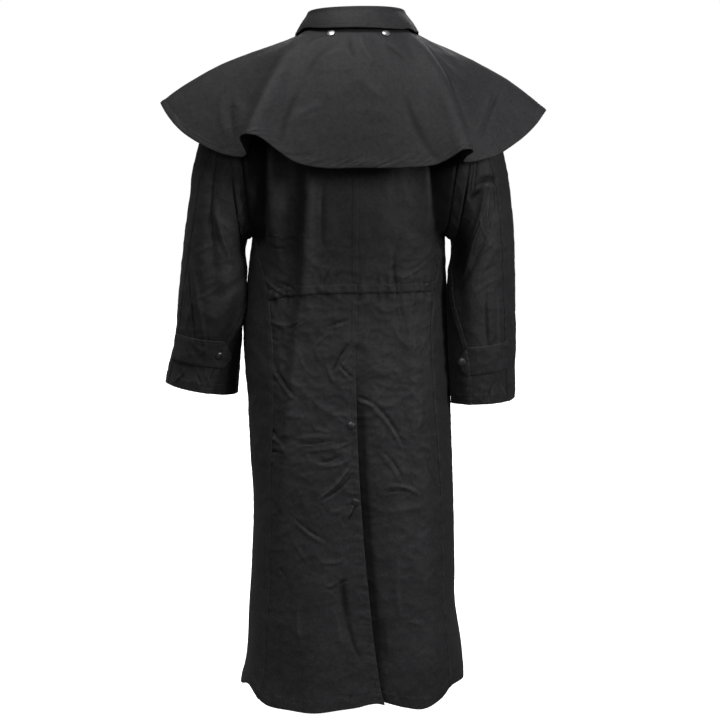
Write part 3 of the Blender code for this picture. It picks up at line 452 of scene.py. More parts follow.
# Creases of the back: x and height where each starts and ends, half breadth, rise, how far it bends aside
BACK_CREASES = metres([
    # upper back, left of the fold edge
    (150, -405, 108, -392, 6, 3, 2), (158, -424, 116, -420, 4.5, -3.2, 1),
    (120, -300, 98, -350, 10, 1.6, 4), (172, -482, 134, -512, 5.5, 3.4, 3),
    (152, -488, 106, -512, 4.5, -3.4, -4), (134, -512, 104, -518, 5, 2.6, 0),
    (176, -552, 102, -566, 6, 2.8, 14), (121, -578, 95, -563, 3.5, -3.4, 0),
    (186, -566, 158, -604, 5.5, 2.6, 2), (170, -590, 140, -606, 5, -2.4, 2),
    (192, -600, 176, -640, 6, 2, 2), (160, -655, 119, -716, 5, 3.2, 3),
    (152, -650, 110, -716, 5, -2.6, 3),
    # left of the centre seam, above and below the channel
    (58, -502, 38, -458, 4.5, -2.6, -5), (36, -496, 20, -468, 4, -2.2, -4),
    (28, -424, 4, -424, 3.5, -1.8, 0), (48, -574, 8, -562, 4, -3.4, 0), (46, -582, 10, -570, 5.5, 2.6, 0),
    (86, -628, 42, -588, 5, 2.4, -3), (60, -560, 30, -548, 6, 1.6, 3), (40, -664, 0, -600, 7, -3, -4),
    (30, -662, 2, -618, 6, 2.6, 3), (28, -650, 0, -676, 4.2, -3.6, 1), (26, -658, 2, -684, 6, 2.4, 1),
    (52, -640, 34, -690, 8, 1.8, 4),
    # right of the centre seam
    (-28, -606, -40, -586, 5, -2.2, -3), (-92, -534, -98, -558, 4.5, -1.8, 2),
    (-86, -484, -142, -454, 5, 2.2, 3), (-80, -430, -86, -516, 12, -2.6, 3),
    (56, -300, 58, -420, 12, -2.4, 2),
    # right panel beside and below the vent's top
    (-8, -714, -42, -728, 5, -4, -2), (-10, -722, -44, -738, 7, 3.6, -2),
    (-42, -728, -100, -812, 4.5, -3.6, -6), (-38, -738, -92, -812, 6.5, 3, -6),
    (-62, -780, -48, -812, 6.5, 1.8, -3), (-60, -824, -98, -878, 3.8, -3.8, -5),
    (-54, -832, -90, -884, 6.5, 2.2, -5), (-58, -898, -136, -914, 4.8, 3.2, -12),
    (-62, -908, -116, -906, 4.5, -2.4, -6), (-150, -812, -172, -866, 5, 2.2, 4),
    (-148, -842, -170, -900, 4.5, -2, 3), (-110, -1168, -146, -1172, 6, 1.2, 3),
    # round the vent's snaps
    (78, -776, 38, -784, 6, 2.8, 2), (40, -752, 4, -760, 6, 3.2, -6), (110, -808, 40, -800, 6, -3.6, 2),
    (112, -796, 52, -792, 6.5, 3, 0), (102, -822, 30, -812, 6, 2.6, 3), (36, -818, 2, -804, 5.5, 3, 0),
    (68, -844, 24, -830, 6, -2.6, 4), (66, -852, 4, -838, 6.5, 2.8, 6), (70, -920, 2, -846, 5.8, 3.6, 6),
    (62, -920, -2, -864, 6.5, -2.4, 6), (16, -966, 0, -930, 3.6, 4.2, 1),
    (10, -962, -6, -930, 4, -3.6, 1), (44, -946, 18, -938, 6, 2.2, 2),
    # lower left panel
    (124, -952, 58, -1000, 6, -2.4, 4), (118, -960, 56, -1010, 8, 2.2, 4),
    (122, -996, 90, -1050, 8, 1.4, 2), (146, -1060, 134, -1078, 5, -1.8, 0),
    (66, -1048, 20, -1042, 6.5, 2.6, 4), (56, -1094, 30, -1088, 5.5, 2.6, 4),
    (44, -1104, 6, -1084, 5, -2, -6), (20, -1070, 8, -1180, 24, -3, 4),
    (8, -1180, -16, -1250, 13, -2.6, 3), (36, -1130, 22, -1220, 20, 1.4, 2),
    (110, -1140, 104, -1220, 14, 2, 3), (-90, -1040, -96, -1160, 18, 2.2, 4),
    (-60, -1160, -70, -1262, 22, -1.6, 3),
    # left side, above the hip
    (186, -766, 146, -796, 6, -3.6, -4), (180, -796, 136, -820, 6, 3.6, -10),
    (176, -820, 130, -826, 5.5, -3.2, 0), (178, -846, 150, -838, 6, 2, 2),
])
# The same for the front, which the photo hides: the like creases at the waist, closure and skirt
FRONT_CREASES = metres([
    (150, -470, 70, -500, 6, 3, 6), (160, -500, 96, -528, 5.5, -2.8, 4),
    (-150, -466, -80, -504, 6, 2.8, -5), (-156, -520, -96, -542, 5.5, -2.8, 3),
    (60, -452, 20, -464, 5.5, 2.6, 3), (72, -584, 20, -592, 6, -2.8, 4),
    (-60, -586, -22, -596, 6, 2.6, -4), (70, -712, 22, -722, 5.5, 2.6, 3),
    (-84, -716, -24, -724, 6, -2.6, 3), (100, -640, 56, -690, 7, 2.6, 5),
    (-104, -640, -60, -704, 7, 2.4, -5), (80, -850, 26, -844, 5.5, 2.6, 3),
    (-74, -854, -28, -840, 5.5, 2.4, 3), (110, -900, 60, -966, 8, 2, 4),
    (-112, -930, -70, -986, 8, 2, -4), (120, -330, 60, -372, 7.5, 2.6, 6),
    (-120, -336, -60, -380, 7.5, 2.4, -6), (50, -1080, 46, -1200, 16, 2.2, 3),
    (-56, -1060, -50, -1190, 16, 2.2, 3),
])
# Creases of a sleeve: share and angle where each starts and ends, half breadth, rise, bend
SLEEVE_CREASES = {
    1: metres([
        (0.1, 130, 0.15, 164, 5.5, 3.4, 3), (0.12, 118, 0.18, 158, 5, -3, 3),
        (0.16, 126, 0.215, 166, 5.5, 3.4, 3), (0.19, 112, 0.255, 160, 5.5, -2.8, 4),
        (0.23, 126, 0.27, 170, 6, 3.2, 2), (0.28, 132, 0.3, 172, 5, -2.6, 2),
        (0.48, 52, 0.84, 96, 8, 3, 4), (0.5, 42, 0.82, 76, 8, -3, 3), (0.56, 60, 0.7, 52, 7, 2, 2),
        (0.12, 60, 0.42, 92, 9, -3, 4), (0.4, 96, 0.47, 60, 8, 1.8, 3), (0.56, 104, 0.61, 70, 7, 1.8, 3),
        (0.76, 100, 0.83, 84, 6, 2.4, 3), (0.92, 60, 0.975, 48, 6, 2.6, 2),
        (0.915, 84, 0.985, 96, 5, -2.6, 2), (0.91, 98, 0.97, 108, 5, 2.6, 2),
        (0.44, -40, 0.56, -110, 7.5, 3.2, 4), (0.5, -34, 0.6, -96, 6.5, -2.8, 4),
        (0.38, -60, 0.47, -130, 7.5, 2.8, 4), (0.25, -70, 0.33, -140, 8, 2.4, 4),
        (0.64, -50, 0.74, -120, 7.5, 2.6, 4), (0.18, 8, 0.56, 4, 14, 1.8, 3),
        (0.6, 10, 0.86, 14, 9, -2, 2),
    ], PLACES),
    -1: metres([
        (0.16, 94, 0.262, 58, 6.2, -6, 1), (0.166, 106, 0.215, 90, 8, -6, 1),
        (0.182, 94, 0.28, 60, 7, 2.8, 1), (0.255, 70, 0.38, 86, 6, 3.6, 6),
        (0.285, 84, 0.36, 112, 4.5, -4, 3), (0.3, 96, 0.4, 86, 6, 3, 4),
        (0.35, 98, 0.44, 112, 5, -2.6, 3), (0.26, 60, 0.34, 66, 5, -2.6, 3),
        (0.42, 72, 0.45, 104, 6.5, 2.2, 3), (0.5, 70, 0.52, 98, 6, -2, 3),
        (0.54, 66, 0.58, 110, 8, 1.8, 3), (0.58, 86, 0.8, 80, 10, -2.6, 3),
        (0.6, 66, 0.82, 62, 9, 2.2, 3), (0.1, 84, 0.15, 110, 6, 2.6, 3), (0.12, 74, 0.18, 98, 6, -2, 3),
        (0.915, 60, 0.985, 52, 6, 2.8, 2), (0.92, 74, 0.98, 82, 5, -2.6, 2),
        (0.925, 92, 0.985, 96, 6, 2.4, 2), (0.44, -40, 0.56, -110, 7.5, 3.2, 4),
        (0.5, -34, 0.6, -96, 6.5, -2.8, 4), (0.35, -60, 0.45, -130, 7.5, 2.8, 4),
        (0.25, -70, 0.33, -140, 8, 2.4, 4), (0.66, -50, 0.76, -120, 7.5, 2.6, 4),
        (0.2, 20, 0.56, 24, 14, 1.8, 3), (0.24, 40, 0.3, 6, 6, 1.8, 3), (0.33, 40, 0.37, 8, 6, -1.6, 3),
        (0.48, 36, 0.52, 6, 6, 1.6, 3),
    ], PLACES),
}
# Long hollows along the inner side of the sleeves: share and angle of both ends, half breadth, rise
SLEEVE_HOLLOWS = {
    1: metres([
        (0.5, 150, 0.84, 116, 22, -4.5), (0.1, 158, 0.5, 166, 16, -3),
    ], PLACES),
    -1: metres([
        (0.14, 146, 0.52, 142, 26, -7), (0.36, 142, 0.8, 122, 24, -6),
    ], PLACES),
}
# Creases of the cape: direction and share where each starts and ends, half breadth, rise, bend
CAPE_CREASES = metres([
    (-4, 0.1, -14, 0.32, 8, 2.6, 6), (4, 0.12, -2, 0.3, 7, -2.4, 4), (-16, 0.08, -34, 0.2, 7.5, 3, 4),
    (-24, 0.14, -40, 0.32, 8, -2.6, 4), (20, 0.2, 34, 0.46, 12, -2.4, 6), (24, 0.12, 40, 0.22, 8, 2.6, 4),
    (10, 0.22, 26, 0.32, 8, 2.4, 4), (-8, 0.44, -20, 0.56, 12, 2.6, 6), (22, 0.62, 36, 0.74, 9, 2, 4),
    (-30, 0.82, -22, 0.88, 7, 2, 3), (-34, 0.56, -46, 0.98, 14, -3.4, 6),
    (34, 0.5, 42, 0.96, 14, -2.6, 6), (76, 0.66, 70, 0.9, 6, -3.6, 3), (80, 0.68, 73, 0.88, 7, 3.4, 3),
    (66, 0.5, 68, 0.74, 12, 2.4, 3), (62, 0.66, 64, 0.96, 9, -2.4, 3), (-86, 0.7, -76, 0.86, 6, -3.4, 3),
    (-84, 0.66, -74, 0.82, 7.5, 2.8, 3), (-66, 0.4, -68, 0.76, 11, 3, 3),
    (-70, 0.46, -71, 0.8, 9, -2.8, 3), (-74, 0.3, -80, 0.52, 11, 2, 4), (104, 0.4, 112, 0.8, 12, 3, 6),
    (128, 0.36, 136, 0.84, 12, -2.8, 6), (150, 0.44, 152, 0.9, 13, 2.6, 5),
    (-104, 0.4, -114, 0.8, 12, 3, 6), (-130, 0.36, -136, 0.84, 12, -2.8, 6),
    (-150, 0.44, -154, 0.9, 13, 2.6, 5),
], PLACES)
# A crease's section: its crest's roundness and fall, the hollow's share of the rise and its breadth
CREST, CREST_FALL, HOLLOW_SHARE, HOLLOW_BREADTH = 0.12, 1.4, 0.35, 2.6
# The camera's place. The back's creases are placed as it sees them on the upright plane through the neck
CAMERA = (-0.01365, 2.8, -0.273)
CAMERA_LENS, CAMERA_PITCH = 72.4, 82.5
# How much finer and higher than its table says a crease of the body or a sleeve is drawn
FINER, HIGHER = 0.62, 1.18
# Painted shade in the hollows of the back's deep folds, beyond its side folds and in the vent, and a painted
# highlight along the side seams
DEEP_FOLD, FOLD_SHADE, SIDE_SHADE, VENT_SHADE, SEAM_HIGHLIGHT = -0.02, 0.09, 0.0024, 0.0038, 0.0016
# Share of a sleeve's long hollow that is also painted shade, and the painted shade beside its band, by its
# inner seam and along its seams
HOLLOW_SHADE, BAND_SHADE, INNER_SHADE, SLEEVE_SEAM_SHADE = 0.30, 0.0022, 0.0016, 0.0018
# How far apart the points of the back, the sleeves and the hidden front lie
BACK_STEP, SLEEVE_STEP, HIDDEN_STEP = 0.0033, 0.0042, 0.0068
# How far one panel laps over the next at a felled seam: at the centre back, the sides and the sleeves
LAP, LAP_ANGLE, SLEEVE_LAP_ANGLE = 0.003, 0.8, 2.4
CHANNEL_WALL = 0.0010
DIRECTION_STEP = 0.9
# How much higher than wide the crumples of the body lie
SQUEEZE = (1.0, 1.0, 1.4)


def crease_height(away, held, rise):
    """A crease's height, so many half breadths away from it: a fairly sharp crest with a hollow beside it."""
    strength = np.sin(np.pi * (0.06 + 0.88 * held)) ** 0.7
    crest = np.exp(-CREST_FALL * (np.sqrt(away**2 + CREST**2) - CREST))
    return rise * strength * (crest - HOLLOW_SHARE * np.exp(-((away / HOLLOW_BREADTH) ** 2)))


def crease_rise(u, v, crease):
    """How far a crease lifts the cloth at (u, v)."""
    u0, v0, u1, v1, breadth, rise, bend = crease
    du, dv = u1 - u0, v1 - v0
    length = math.hypot(du, dv)
    along = ((u - u0) * du + (v - v0) * dv) / length**2
    held = np.clip(along, 0, 1)
    across = ((v - v0) * du - (u - u0) * dv) / length - bend * 4 * held * (1 - held)
    away = np.hypot(across, (along - held) * length) / (breadth * FINER)
    return crease_height(away, held, rise * HIGHER)


def seen_flat(points):
    """The x and z at which points show on the upright plane through the neck, as the camera sees them."""
    nearer = CAMERA[1] / (CAMERA[1] - points[..., 1])
    return [CAMERA[axis] + (points[..., axis] - CAMERA[axis]) * nearer for axis in (0, 2)]


def creased(u, v, creases):
    rise = np.zeros(np.broadcast(u, v).shape)
    for crease in creases:
        rise += crease_rise(u, v, crease)
    return rise


def noise_on(points, size, shift):
    """Noise from -1 to 1 over a grid of points, size across."""
    flat = points.reshape(-1, 3) / size
    made = [noise.noise(Vector(p) + Vector(shift)) for p in flat.tolist()]
    return np.array(made).reshape(points.shape[:-1])


def crumple(points, size, depth, seed):
    """Fine irregular ridges of crumpled cloth, size apart, over a grid of points."""
    made = 1 - np.abs(noise_on(points, size, (seed * 3.7, seed * 1.3, seed * 2.1))) * 2
    return depth * (made**2 - 0.5)


def soft_noise(points, size, depth, seed):
    """Soft unevenness of cloth, size across, over a grid of points."""
    return depth * noise_on(points, size, (seed * 2.3, seed * 5.1, seed * 1.7))


def uneven(length, pitch, seed):
    """An irregular smooth wave along a seam, from -1 to 1."""
    values = np.random.default_rng(seed).uniform(-1, 1, 600)
    place = np.clip(length / pitch, 0, 597)
    i = place.astype(int)
    f = place - i
    f = f * f * (3 - 2 * f)
    return values[i] * (1 - f) + values[i + 1] * f


def puckers(beside, along, seed, depth=0.0005, reach=0.009):
    """The small waves that a seam's stitches draw into the cloth beside it."""
    return depth * uneven(along, 0.0052, seed) * np.exp(-((beside / reach) ** 2))


def under_seam(beside, along, seed, depth=0.0005, reach=0.004):
    """The cloth of a panel that goes under the next one's seam: puckered, and pressed down at its edge."""
    return puckers(beside, along, seed) - depth * np.exp(-((beside / reach) ** 2))


def fell(beside, along, seed, width=FELL_WIDTH):
    """A flat-felled seam: a raised band along the edge, sunk along its two rows of stitches."""
    band = FELL_RISE * (1 - ramp(beside, width, width + 0.0014))
    rows = sum(np.exp(-(((beside - row) / 0.0009) ** 2)) for row in (FELL_ROW, width - FELL_FAR_ROW))
    return band - FELL_SINK * rows + puckers(np.abs(beside - width / 2), along, seed)


def shade_along_seam(beside, depth=0.0014):
    """Painted shade along the narrow line where one panel goes under the next one's seam."""
    return -depth * np.exp(-((beside / 0.0042) ** 4))


def hem(beside, along, seed, width=HEM_WIDTH):
    """A turned and stitched hem: a slightly raised band with a sunk row of stitches along its top."""
    band = HEM_RISE * (1 - ramp(beside, width, width + 0.002))
    row = np.exp(-(((beside - width + 0.001) / 0.0011) ** 2))
    return band - HEM_SINK * row + puckers(np.abs(beside - width), along, seed, 0.0007, 0.012)


class Panel:
    """A grid of points on a garment's surface, whose faces point outwards."""

    def __init__(self, points, u=None, v=None):
        self.points, self.u, self.v = points, u, v
        self.across, self.along = lengths(points, 1), lengths(points, 0)
        self.turn()
        self.wear_and_painted_light = np.zeros(points.shape[:-1])

    def turn(self):
        across, along = np.gradient(self.points, axis=1), np.gradient(self.points, axis=0)
        self.normals = unit(np.cross(across, along))

    def beside(self, edge):
        """How far each point is from an edge. low and high are the outer columns, first and last the rows."""
        if edge == "low":
            return self.across
        if edge == "high":
            return self.across[:, -1:] - self.across
        return self.along if edge == "first" else self.along[-1:] - self.along

    def raised(self, height, worn_and_painted_light):
        """Moves the grid out by a height at each of its points, and notes its colour shift there: wear,
        painted highlight and painted shade.
        """
        self.points = self.points + self.normals * height[..., None]
        self.wear_and_painted_light = worn_and_painted_light
        self.turn()
        return self

    def at(self, row, column, out=0.0):
        """Points and directions at fractional rows and columns, moved out."""
        row, column = np.broadcast_arrays(np.asarray(row, float), np.asarray(column, float))
        i = np.clip(row.astype(int), 0, self.points.shape[0] - 2)
        j = np.clip(column.astype(int), 0, self.points.shape[1] - 2)
        f, g = (row - i)[..., None], (column - j)[..., None]

        def blended(field):
            low = field[i, j] * (1 - g) + field[i, j + 1] * g
            return low * (1 - f) + (field[i + 1, j] * (1 - g) + field[i + 1, j + 1] * g) * f

        normals = unit(blended(self.normals))
        return blended(self.points) + normals * np.asarray(out)[..., None], normals

    def find(self, u, v):
        """Fractional rows and columns of surface values. v has one value a row."""
        u, v = np.broadcast_arrays(np.asarray(u, float), np.asarray(v, float))
        order = 1 if self.v[-1] > self.v[0] else -1
        places = np.arange(len(self.v))
        row = np.interp(v, self.v[::order], places[::order])
        column = np.empty(u.shape)
        for k in np.ndindex(u.shape):
            i = min(int(row[k]), len(self.v) - 2)
            f = row[k] - i
            values = self.u[i] * (1 - f) + self.u[i + 1] * f
            way = 1 if values[-1] > values[0] else -1
            column[k] = np.interp(u[k], values[::way], np.arange(len(values))[::way])
        return row, column

    def line(self, edge, distance, out=0.0, start=0.0, stop=1.0):
        """Points at a distance from an edge, between two shares of the edge's own length."""
        upright = edge in ("first", "last")
        lanes = self.beside(edge).T if upright else self.beside(edge)
        last = len(lanes) - 1
        lane_numbers = np.arange(round(start * last), round(stop * last) + 1)
        places = np.arange(lanes.shape[1])
        way = 1 if lanes[0, -1] > lanes[0, 0] else -1
        found = np.array([np.interp(distance, lanes[i, ::way], places[::way]) for i in lane_numbers])
        return self.at(*((found, lane_numbers) if upright else (lane_numbers, found)), out)[0]

    def nearest(self, target):
        """The point of the grid's face beneath a target, and its direction."""
        away = np.linalg.norm(self.points - np.array(target), axis=-1)
        spot = np.unravel_index(away.argmin(), away.shape)
        point, normal = self.points[spot], self.normals[spot]
        drop = np.dot(np.array(target) - point, normal)
        return Vector(np.array(target) - normal * drop), Vector(normal)


def laid_out(surface, rows, low, high, step):
    """A panel on a surface between two edges, with its columns close together by the edges.

    rows are the surface's second value. low and high are its first value at the two edges of each row.
    """
    shares = np.linspace(0, 1, 161)
    fine = low[:, None] + (high - low)[:, None] * shares
    arc = lengths(surface(fine, rows[:, None]), 1)
    width = arc[:, -1]
    near = EDGE_STEPS[EDGE_STEPS < 0.3 * width.min()]
    count = max(2, math.ceil((width.max() - 2 * near[-1]) / step))
    u = np.empty((len(rows), 2 * len(near) + count - 1))
    for i, across in enumerate(width):
        middle = np.linspace(near[-1], across - near[-1], count + 1)[1:-1]
        u[i] = np.interp(np.concatenate([near, middle, across - near[::-1]]), arc[i], fine[i])
    return Panel(surface(u, rows[:, None]), u, rows)


def placed(name, data):
    """A new object of the scene."""
    made = bpy.data.objects.new(name, data)
    scene.collection.objects.link(made)
    return made


def solid_mesh(name, points, faces, material):
    mesh = bpy.data.meshes.new(name)
    mesh.from_pydata(points, [], faces)
    mesh.shade_smooth()
    mesh.materials.append(material)
    return mesh


def cloth(name, panel, wall):
    """A closed thin shell on a panel's grid, with a rounded edge and the cloth's lengths as its UV map."""
    outer = panel.points
    inner = outer - panel.normals * wall
    rows, columns = outer.shape[:2]
    count = rows * columns
    push = np.zeros_like(outer)
    push[0] -= outer[1] - outer[0]
    push[-1] += outer[-1] - outer[-2]
    push[:, 0] -= unit(outer[:, 1] - outer[:, 0])
    push[:, -1] += unit(outer[:, -1] - outer[:, -2])
    push[0, 1:-1], push[-1, 1:-1] = unit(push[0, 1:-1]), unit(push[-1, 1:-1])
    index = np.arange(count).reshape(rows, columns)
    rim = np.concatenate([index[0], index[1:, -1], index[-1, -2::-1], index[-2:0:-1, 0]])
    flat_outer, flat_inner = outer.reshape(-1, 3), inner.reshape(-1, 3)
    edge = (flat_outer[rim] + flat_inner[rim]) / 2 + unit(push.reshape(-1, 3)[rim]) * wall * 0.45
    points = np.concatenate([flat_outer, flat_inner, edge])
    quads = np.stack([index[:-1, :-1], index[:-1, 1:], index[1:, 1:], index[1:, :-1]], -1).reshape(-1, 4)
    after = np.roll(rim, -1)
    middle = 2 * count + np.arange(len(rim))
    next_middle = np.roll(middle, -1)
    faces = np.concatenate([
        quads,
        quads[:, ::-1] + count,
        np.stack([after, rim, middle, next_middle], -1),
        np.stack([next_middle, middle, rim + count, after + count], -1),
    ])
    mesh = solid_mesh(name, points.tolist(), faces.tolist(), waxed_cloth)
    lay = np.stack([panel.across, panel.along], -1).reshape(-1, 2)
    lay = np.concatenate([lay, lay, lay[rim]])
    # The panel's wear and painted light, as a point attribute that the cloth's colour reads
    wear_and_painted_light = panel.wear_and_painted_light.ravel()
    spread = np.concatenate([wear_and_painted_light, wear_and_painted_light * 0, wear_and_painted_light[rim]])
    corners = np.empty(len(mesh.loops), int)
    mesh.loops.foreach_get("vertex_index", corners)
    mesh.uv_layers.new(name="lengths").data.foreach_set("uv", lay[corners].ravel())
    mesh.attributes.new("wear_and_painted_light", "FLOAT", "POINT").data.foreach_set("value", spread.astype(np.float32))
    return placed(name, mesh)


class Wire:
    """A socket of a shader tree that Python's operators work on: each of them adds a Math node."""

    def __init__(self, finish, socket):
        self.finish, self.socket = finish, socket

    def math(self, operation, *values):
        return self.finish.node("Math", {"operation": operation}, *values)["Value"]

    def __add__(self, other):
        return self.math("ADD", self, other)

    def __sub__(self, other):
        return self.math("SUBTRACT", self, other)

    def __rsub__(self, other):
        return self.math("SUBTRACT", other, self)

    def __mul__(self, other):
        return self.math("MULTIPLY", self, other)

    def __abs__(self):
        return self.math("ABSOLUTE", self)

    __radd__ = __add__


class Finish:
    """A material built from nodes, with its shader's fixed values set on the shader's own sockets."""

    def __init__(self, name, **fixed):
        self.material = bpy.data.materials.new(name)
        self.material.use_nodes = True
        self.tree = self.material.node_tree
        self.shader = self.tree.nodes["Principled BSDF"]
        for socket, value in fixed.items():
            self.shader.inputs[socket.replace("_", " ")].default_value = value

    def node(self, kind, settings=None, *values, **named):
        """Adds a node, sets it up, feeds its sockets in order or by name, and gives its outputs by name."""
        made = self.tree.nodes.new("ShaderNode" + kind)
        for key, value in (settings or {}).items():
            setattr(made, key, value)
        fed = list(enumerate(values)) + [(key.replace("_", " "), value) for key, value in named.items()]
        for key, value in fed:
            self.feed(made.inputs[key], value)
        return {output.name: Wire(self, output) for output in made.outputs if output.enabled}

    def feed(self, socket, value):
        if isinstance(value, Wire):
            self.tree.links.new(value.socket, socket)
        else:
            socket.default_value = value

    def mix(self, factor, first, second):
        """A colour between two others."""
        made = self.tree.nodes.new("ShaderNodeMix")
        made.data_type = "RGBA"
        colours = [s for s in made.inputs if s.type == "RGBA"]
        self.feed(made.inputs[0], factor)
        for socket, value in zip(colours, (first, second)):
            self.feed(socket, value if isinstance(value, Wire) else (*value, 1))
        return Wire(self, next(s for s in made.outputs if s.type == "RGBA"))

    def set(self, socket, wire):
        self.tree.links.new(wire.socket, self.shader.inputs[socket])


def waxed_cotton():
    """Black waxed cotton: a fine plain weave, cloudy wax, a soft crumple, wear and painted highlight on
    crests, painted shade in hollows.
    """
    made = Finish("waxed_cotton", Roughness=0.62, Sheen_Weight=0.02, Sheen_Roughness=0.4)
    made.shader.inputs["Specular IOR Level"].default_value = 0.20
    place = made.node("TexCoord")
    body, lengths_map = place["Object"], place["UV"]
    cloud = made.node("TexNoise", None, Vector=body, Scale=9.0, Detail=5.0, Roughness=0.62)["Fac"]
    patch = made.node("TexNoise", None, Vector=body, Scale=34.0, Detail=4.0, Roughness=0.6)["Fac"]
    grain = made.node("TexNoise", None, Vector=body, Scale=420.0, Detail=2.0, Roughness=0.7)["Fac"]
    wear_and_painted_light = made.node("Attribute", {"attribute_name": "wear_and_painted_light"})["Fac"]
    # Positive values lighten the cloth: partly wear and partly painted highlight on crease crests, and
    # painted highlight on side seams and armhole bands
    wear_and_highlight = made.node("MapRange", None, wear_and_painted_light, 0.0004, 0.0024, 0.0, 1.0)["Result"]
    # Negative values darken the cloth as painted shade in crease troughs, deep folds, recesses and along
    # seams
    hollow = made.node("MapRange", None, wear_and_painted_light, -0.0003, -0.0020, 0.0, 1.0)["Result"]
    base = made.mix(cloud, (0.0150, 0.0150, 0.0164), (0.0205, 0.0205, 0.0222))
    base = made.mix((patch - 0.42) * 1.6, base, (0.0240, 0.0240, 0.0258))
    fleck = made.node("TexNoise", None, Vector=body, Scale=150.0, Detail=3.0, Roughness=0.7)["Fac"]
    base = made.mix((fleck - 0.50) * 2.2, base, (0.0300, 0.0300, 0.0322))
    base = made.mix((0.48 - fleck) * 2.6, base, (0.0070, 0.0070, 0.0076))
    # The lighter colour of wear and painted highlight
    base = made.mix(wear_and_highlight * 0.6 * (patch + 0.4), base, (0.0420, 0.0420, 0.0445))
    # The dark colour of painted shade
    base = made.mix(hollow * 0.9, base, (0.0024, 0.0024, 0.0026))
    made.set("Base Color", base)
    made.set("Roughness", 0.56 + cloud * 0.12 + (grain - 0.5) * 0.12 - wear_and_highlight * 0.05)
    weave_map = made.node("Mapping", None, lengths_map)["Vector"]
    warp = made.node("TexWave", {"bands_direction": "X"}, Vector=weave_map, Scale=320.0)["Fac"]
    weft = made.node("TexWave", {"bands_direction": "Y"}, Vector=weave_map, Scale=320.0)["Fac"]
    crinkle = made.node("TexNoise", None, Vector=body, Scale=62.0, Detail=3.0, Roughness=0.55)["Fac"]
    dents = made.node("TexNoise", None, Vector=body, Scale=24.0, Detail=3.0, Roughness=0.5)["Fac"]
    fold = made.node("TexNoise", None, Vector=body, Scale=17.0, Detail=1.5, Roughness=0.4)["Fac"]
    ridge = abs(fold - 0.5)
    height = dents * 0.0010 + crinkle * 0.0010 + grain * 0.00014 + (warp + weft) * 0.00005 - ridge * 0.006
    bump = made.node("Bump", None, Strength=0.7, Distance=1.0, Height=height)["Normal"]
    made.set("Normal", bump)
    return made.material


def seam_thread():
    """The black thread of the seams, a little lighter than the cloth."""
    made = Finish("seam_thread", Roughness=0.6, Sheen_Weight=0.05)
    body = made.node("TexCoord")["Object"]
    twist = made.node("TexNoise", None, Vector=body, Scale=900.0, Detail=2.0)["Fac"]
    made.set("Base Color", made.mix(twist, (0.008, 0.008, 0.009), (0.018, 0.018, 0.019)))
    return made.material


def snap_metal(name, dark, light, roughness):
    """Painted snap caps with a blotchy tone and fine scratches."""
    made = Finish(name, Metallic=0.9, Roughness=roughness)
    body = made.node("TexCoord")["Object"]
    blotch = made.node("TexNoise", None, Vector=body, Scale=260.0, Detail=4.0, Roughness=0.6)["Fac"]
    scratch = made.node("TexNoise", None, Vector=body, Scale=1400.0, Detail=2.0)["Fac"]
    made.set("Base Color", made.mix(blotch, dark, light))
    made.set("Roughness", roughness + (blotch - 0.5) * 0.25)
    bump = made.node("Bump", None, Strength=0.2, Distance=1.0, Height=scratch * 0.00008)["Normal"]
    made.set("Normal", bump)
    return made.material


def floor_finish():
    made = Finish("pale_floor", Roughness=0.9)
    body = made.node("TexCoord")["Object"]
    cloud = made.node("TexNoise", None, Vector=body, Scale=1.2)["Fac"]
    made.set("Base Color", made.mix(cloud, (0.86, 0.86, 0.86), (0.90, 0.90, 0.90)))
    made.shader.inputs["Emission Color"].default_value = (1, 1, 1, 1)
    made.shader.inputs["Emission Strength"].default_value = FLOOR_GLOW
    return made.material


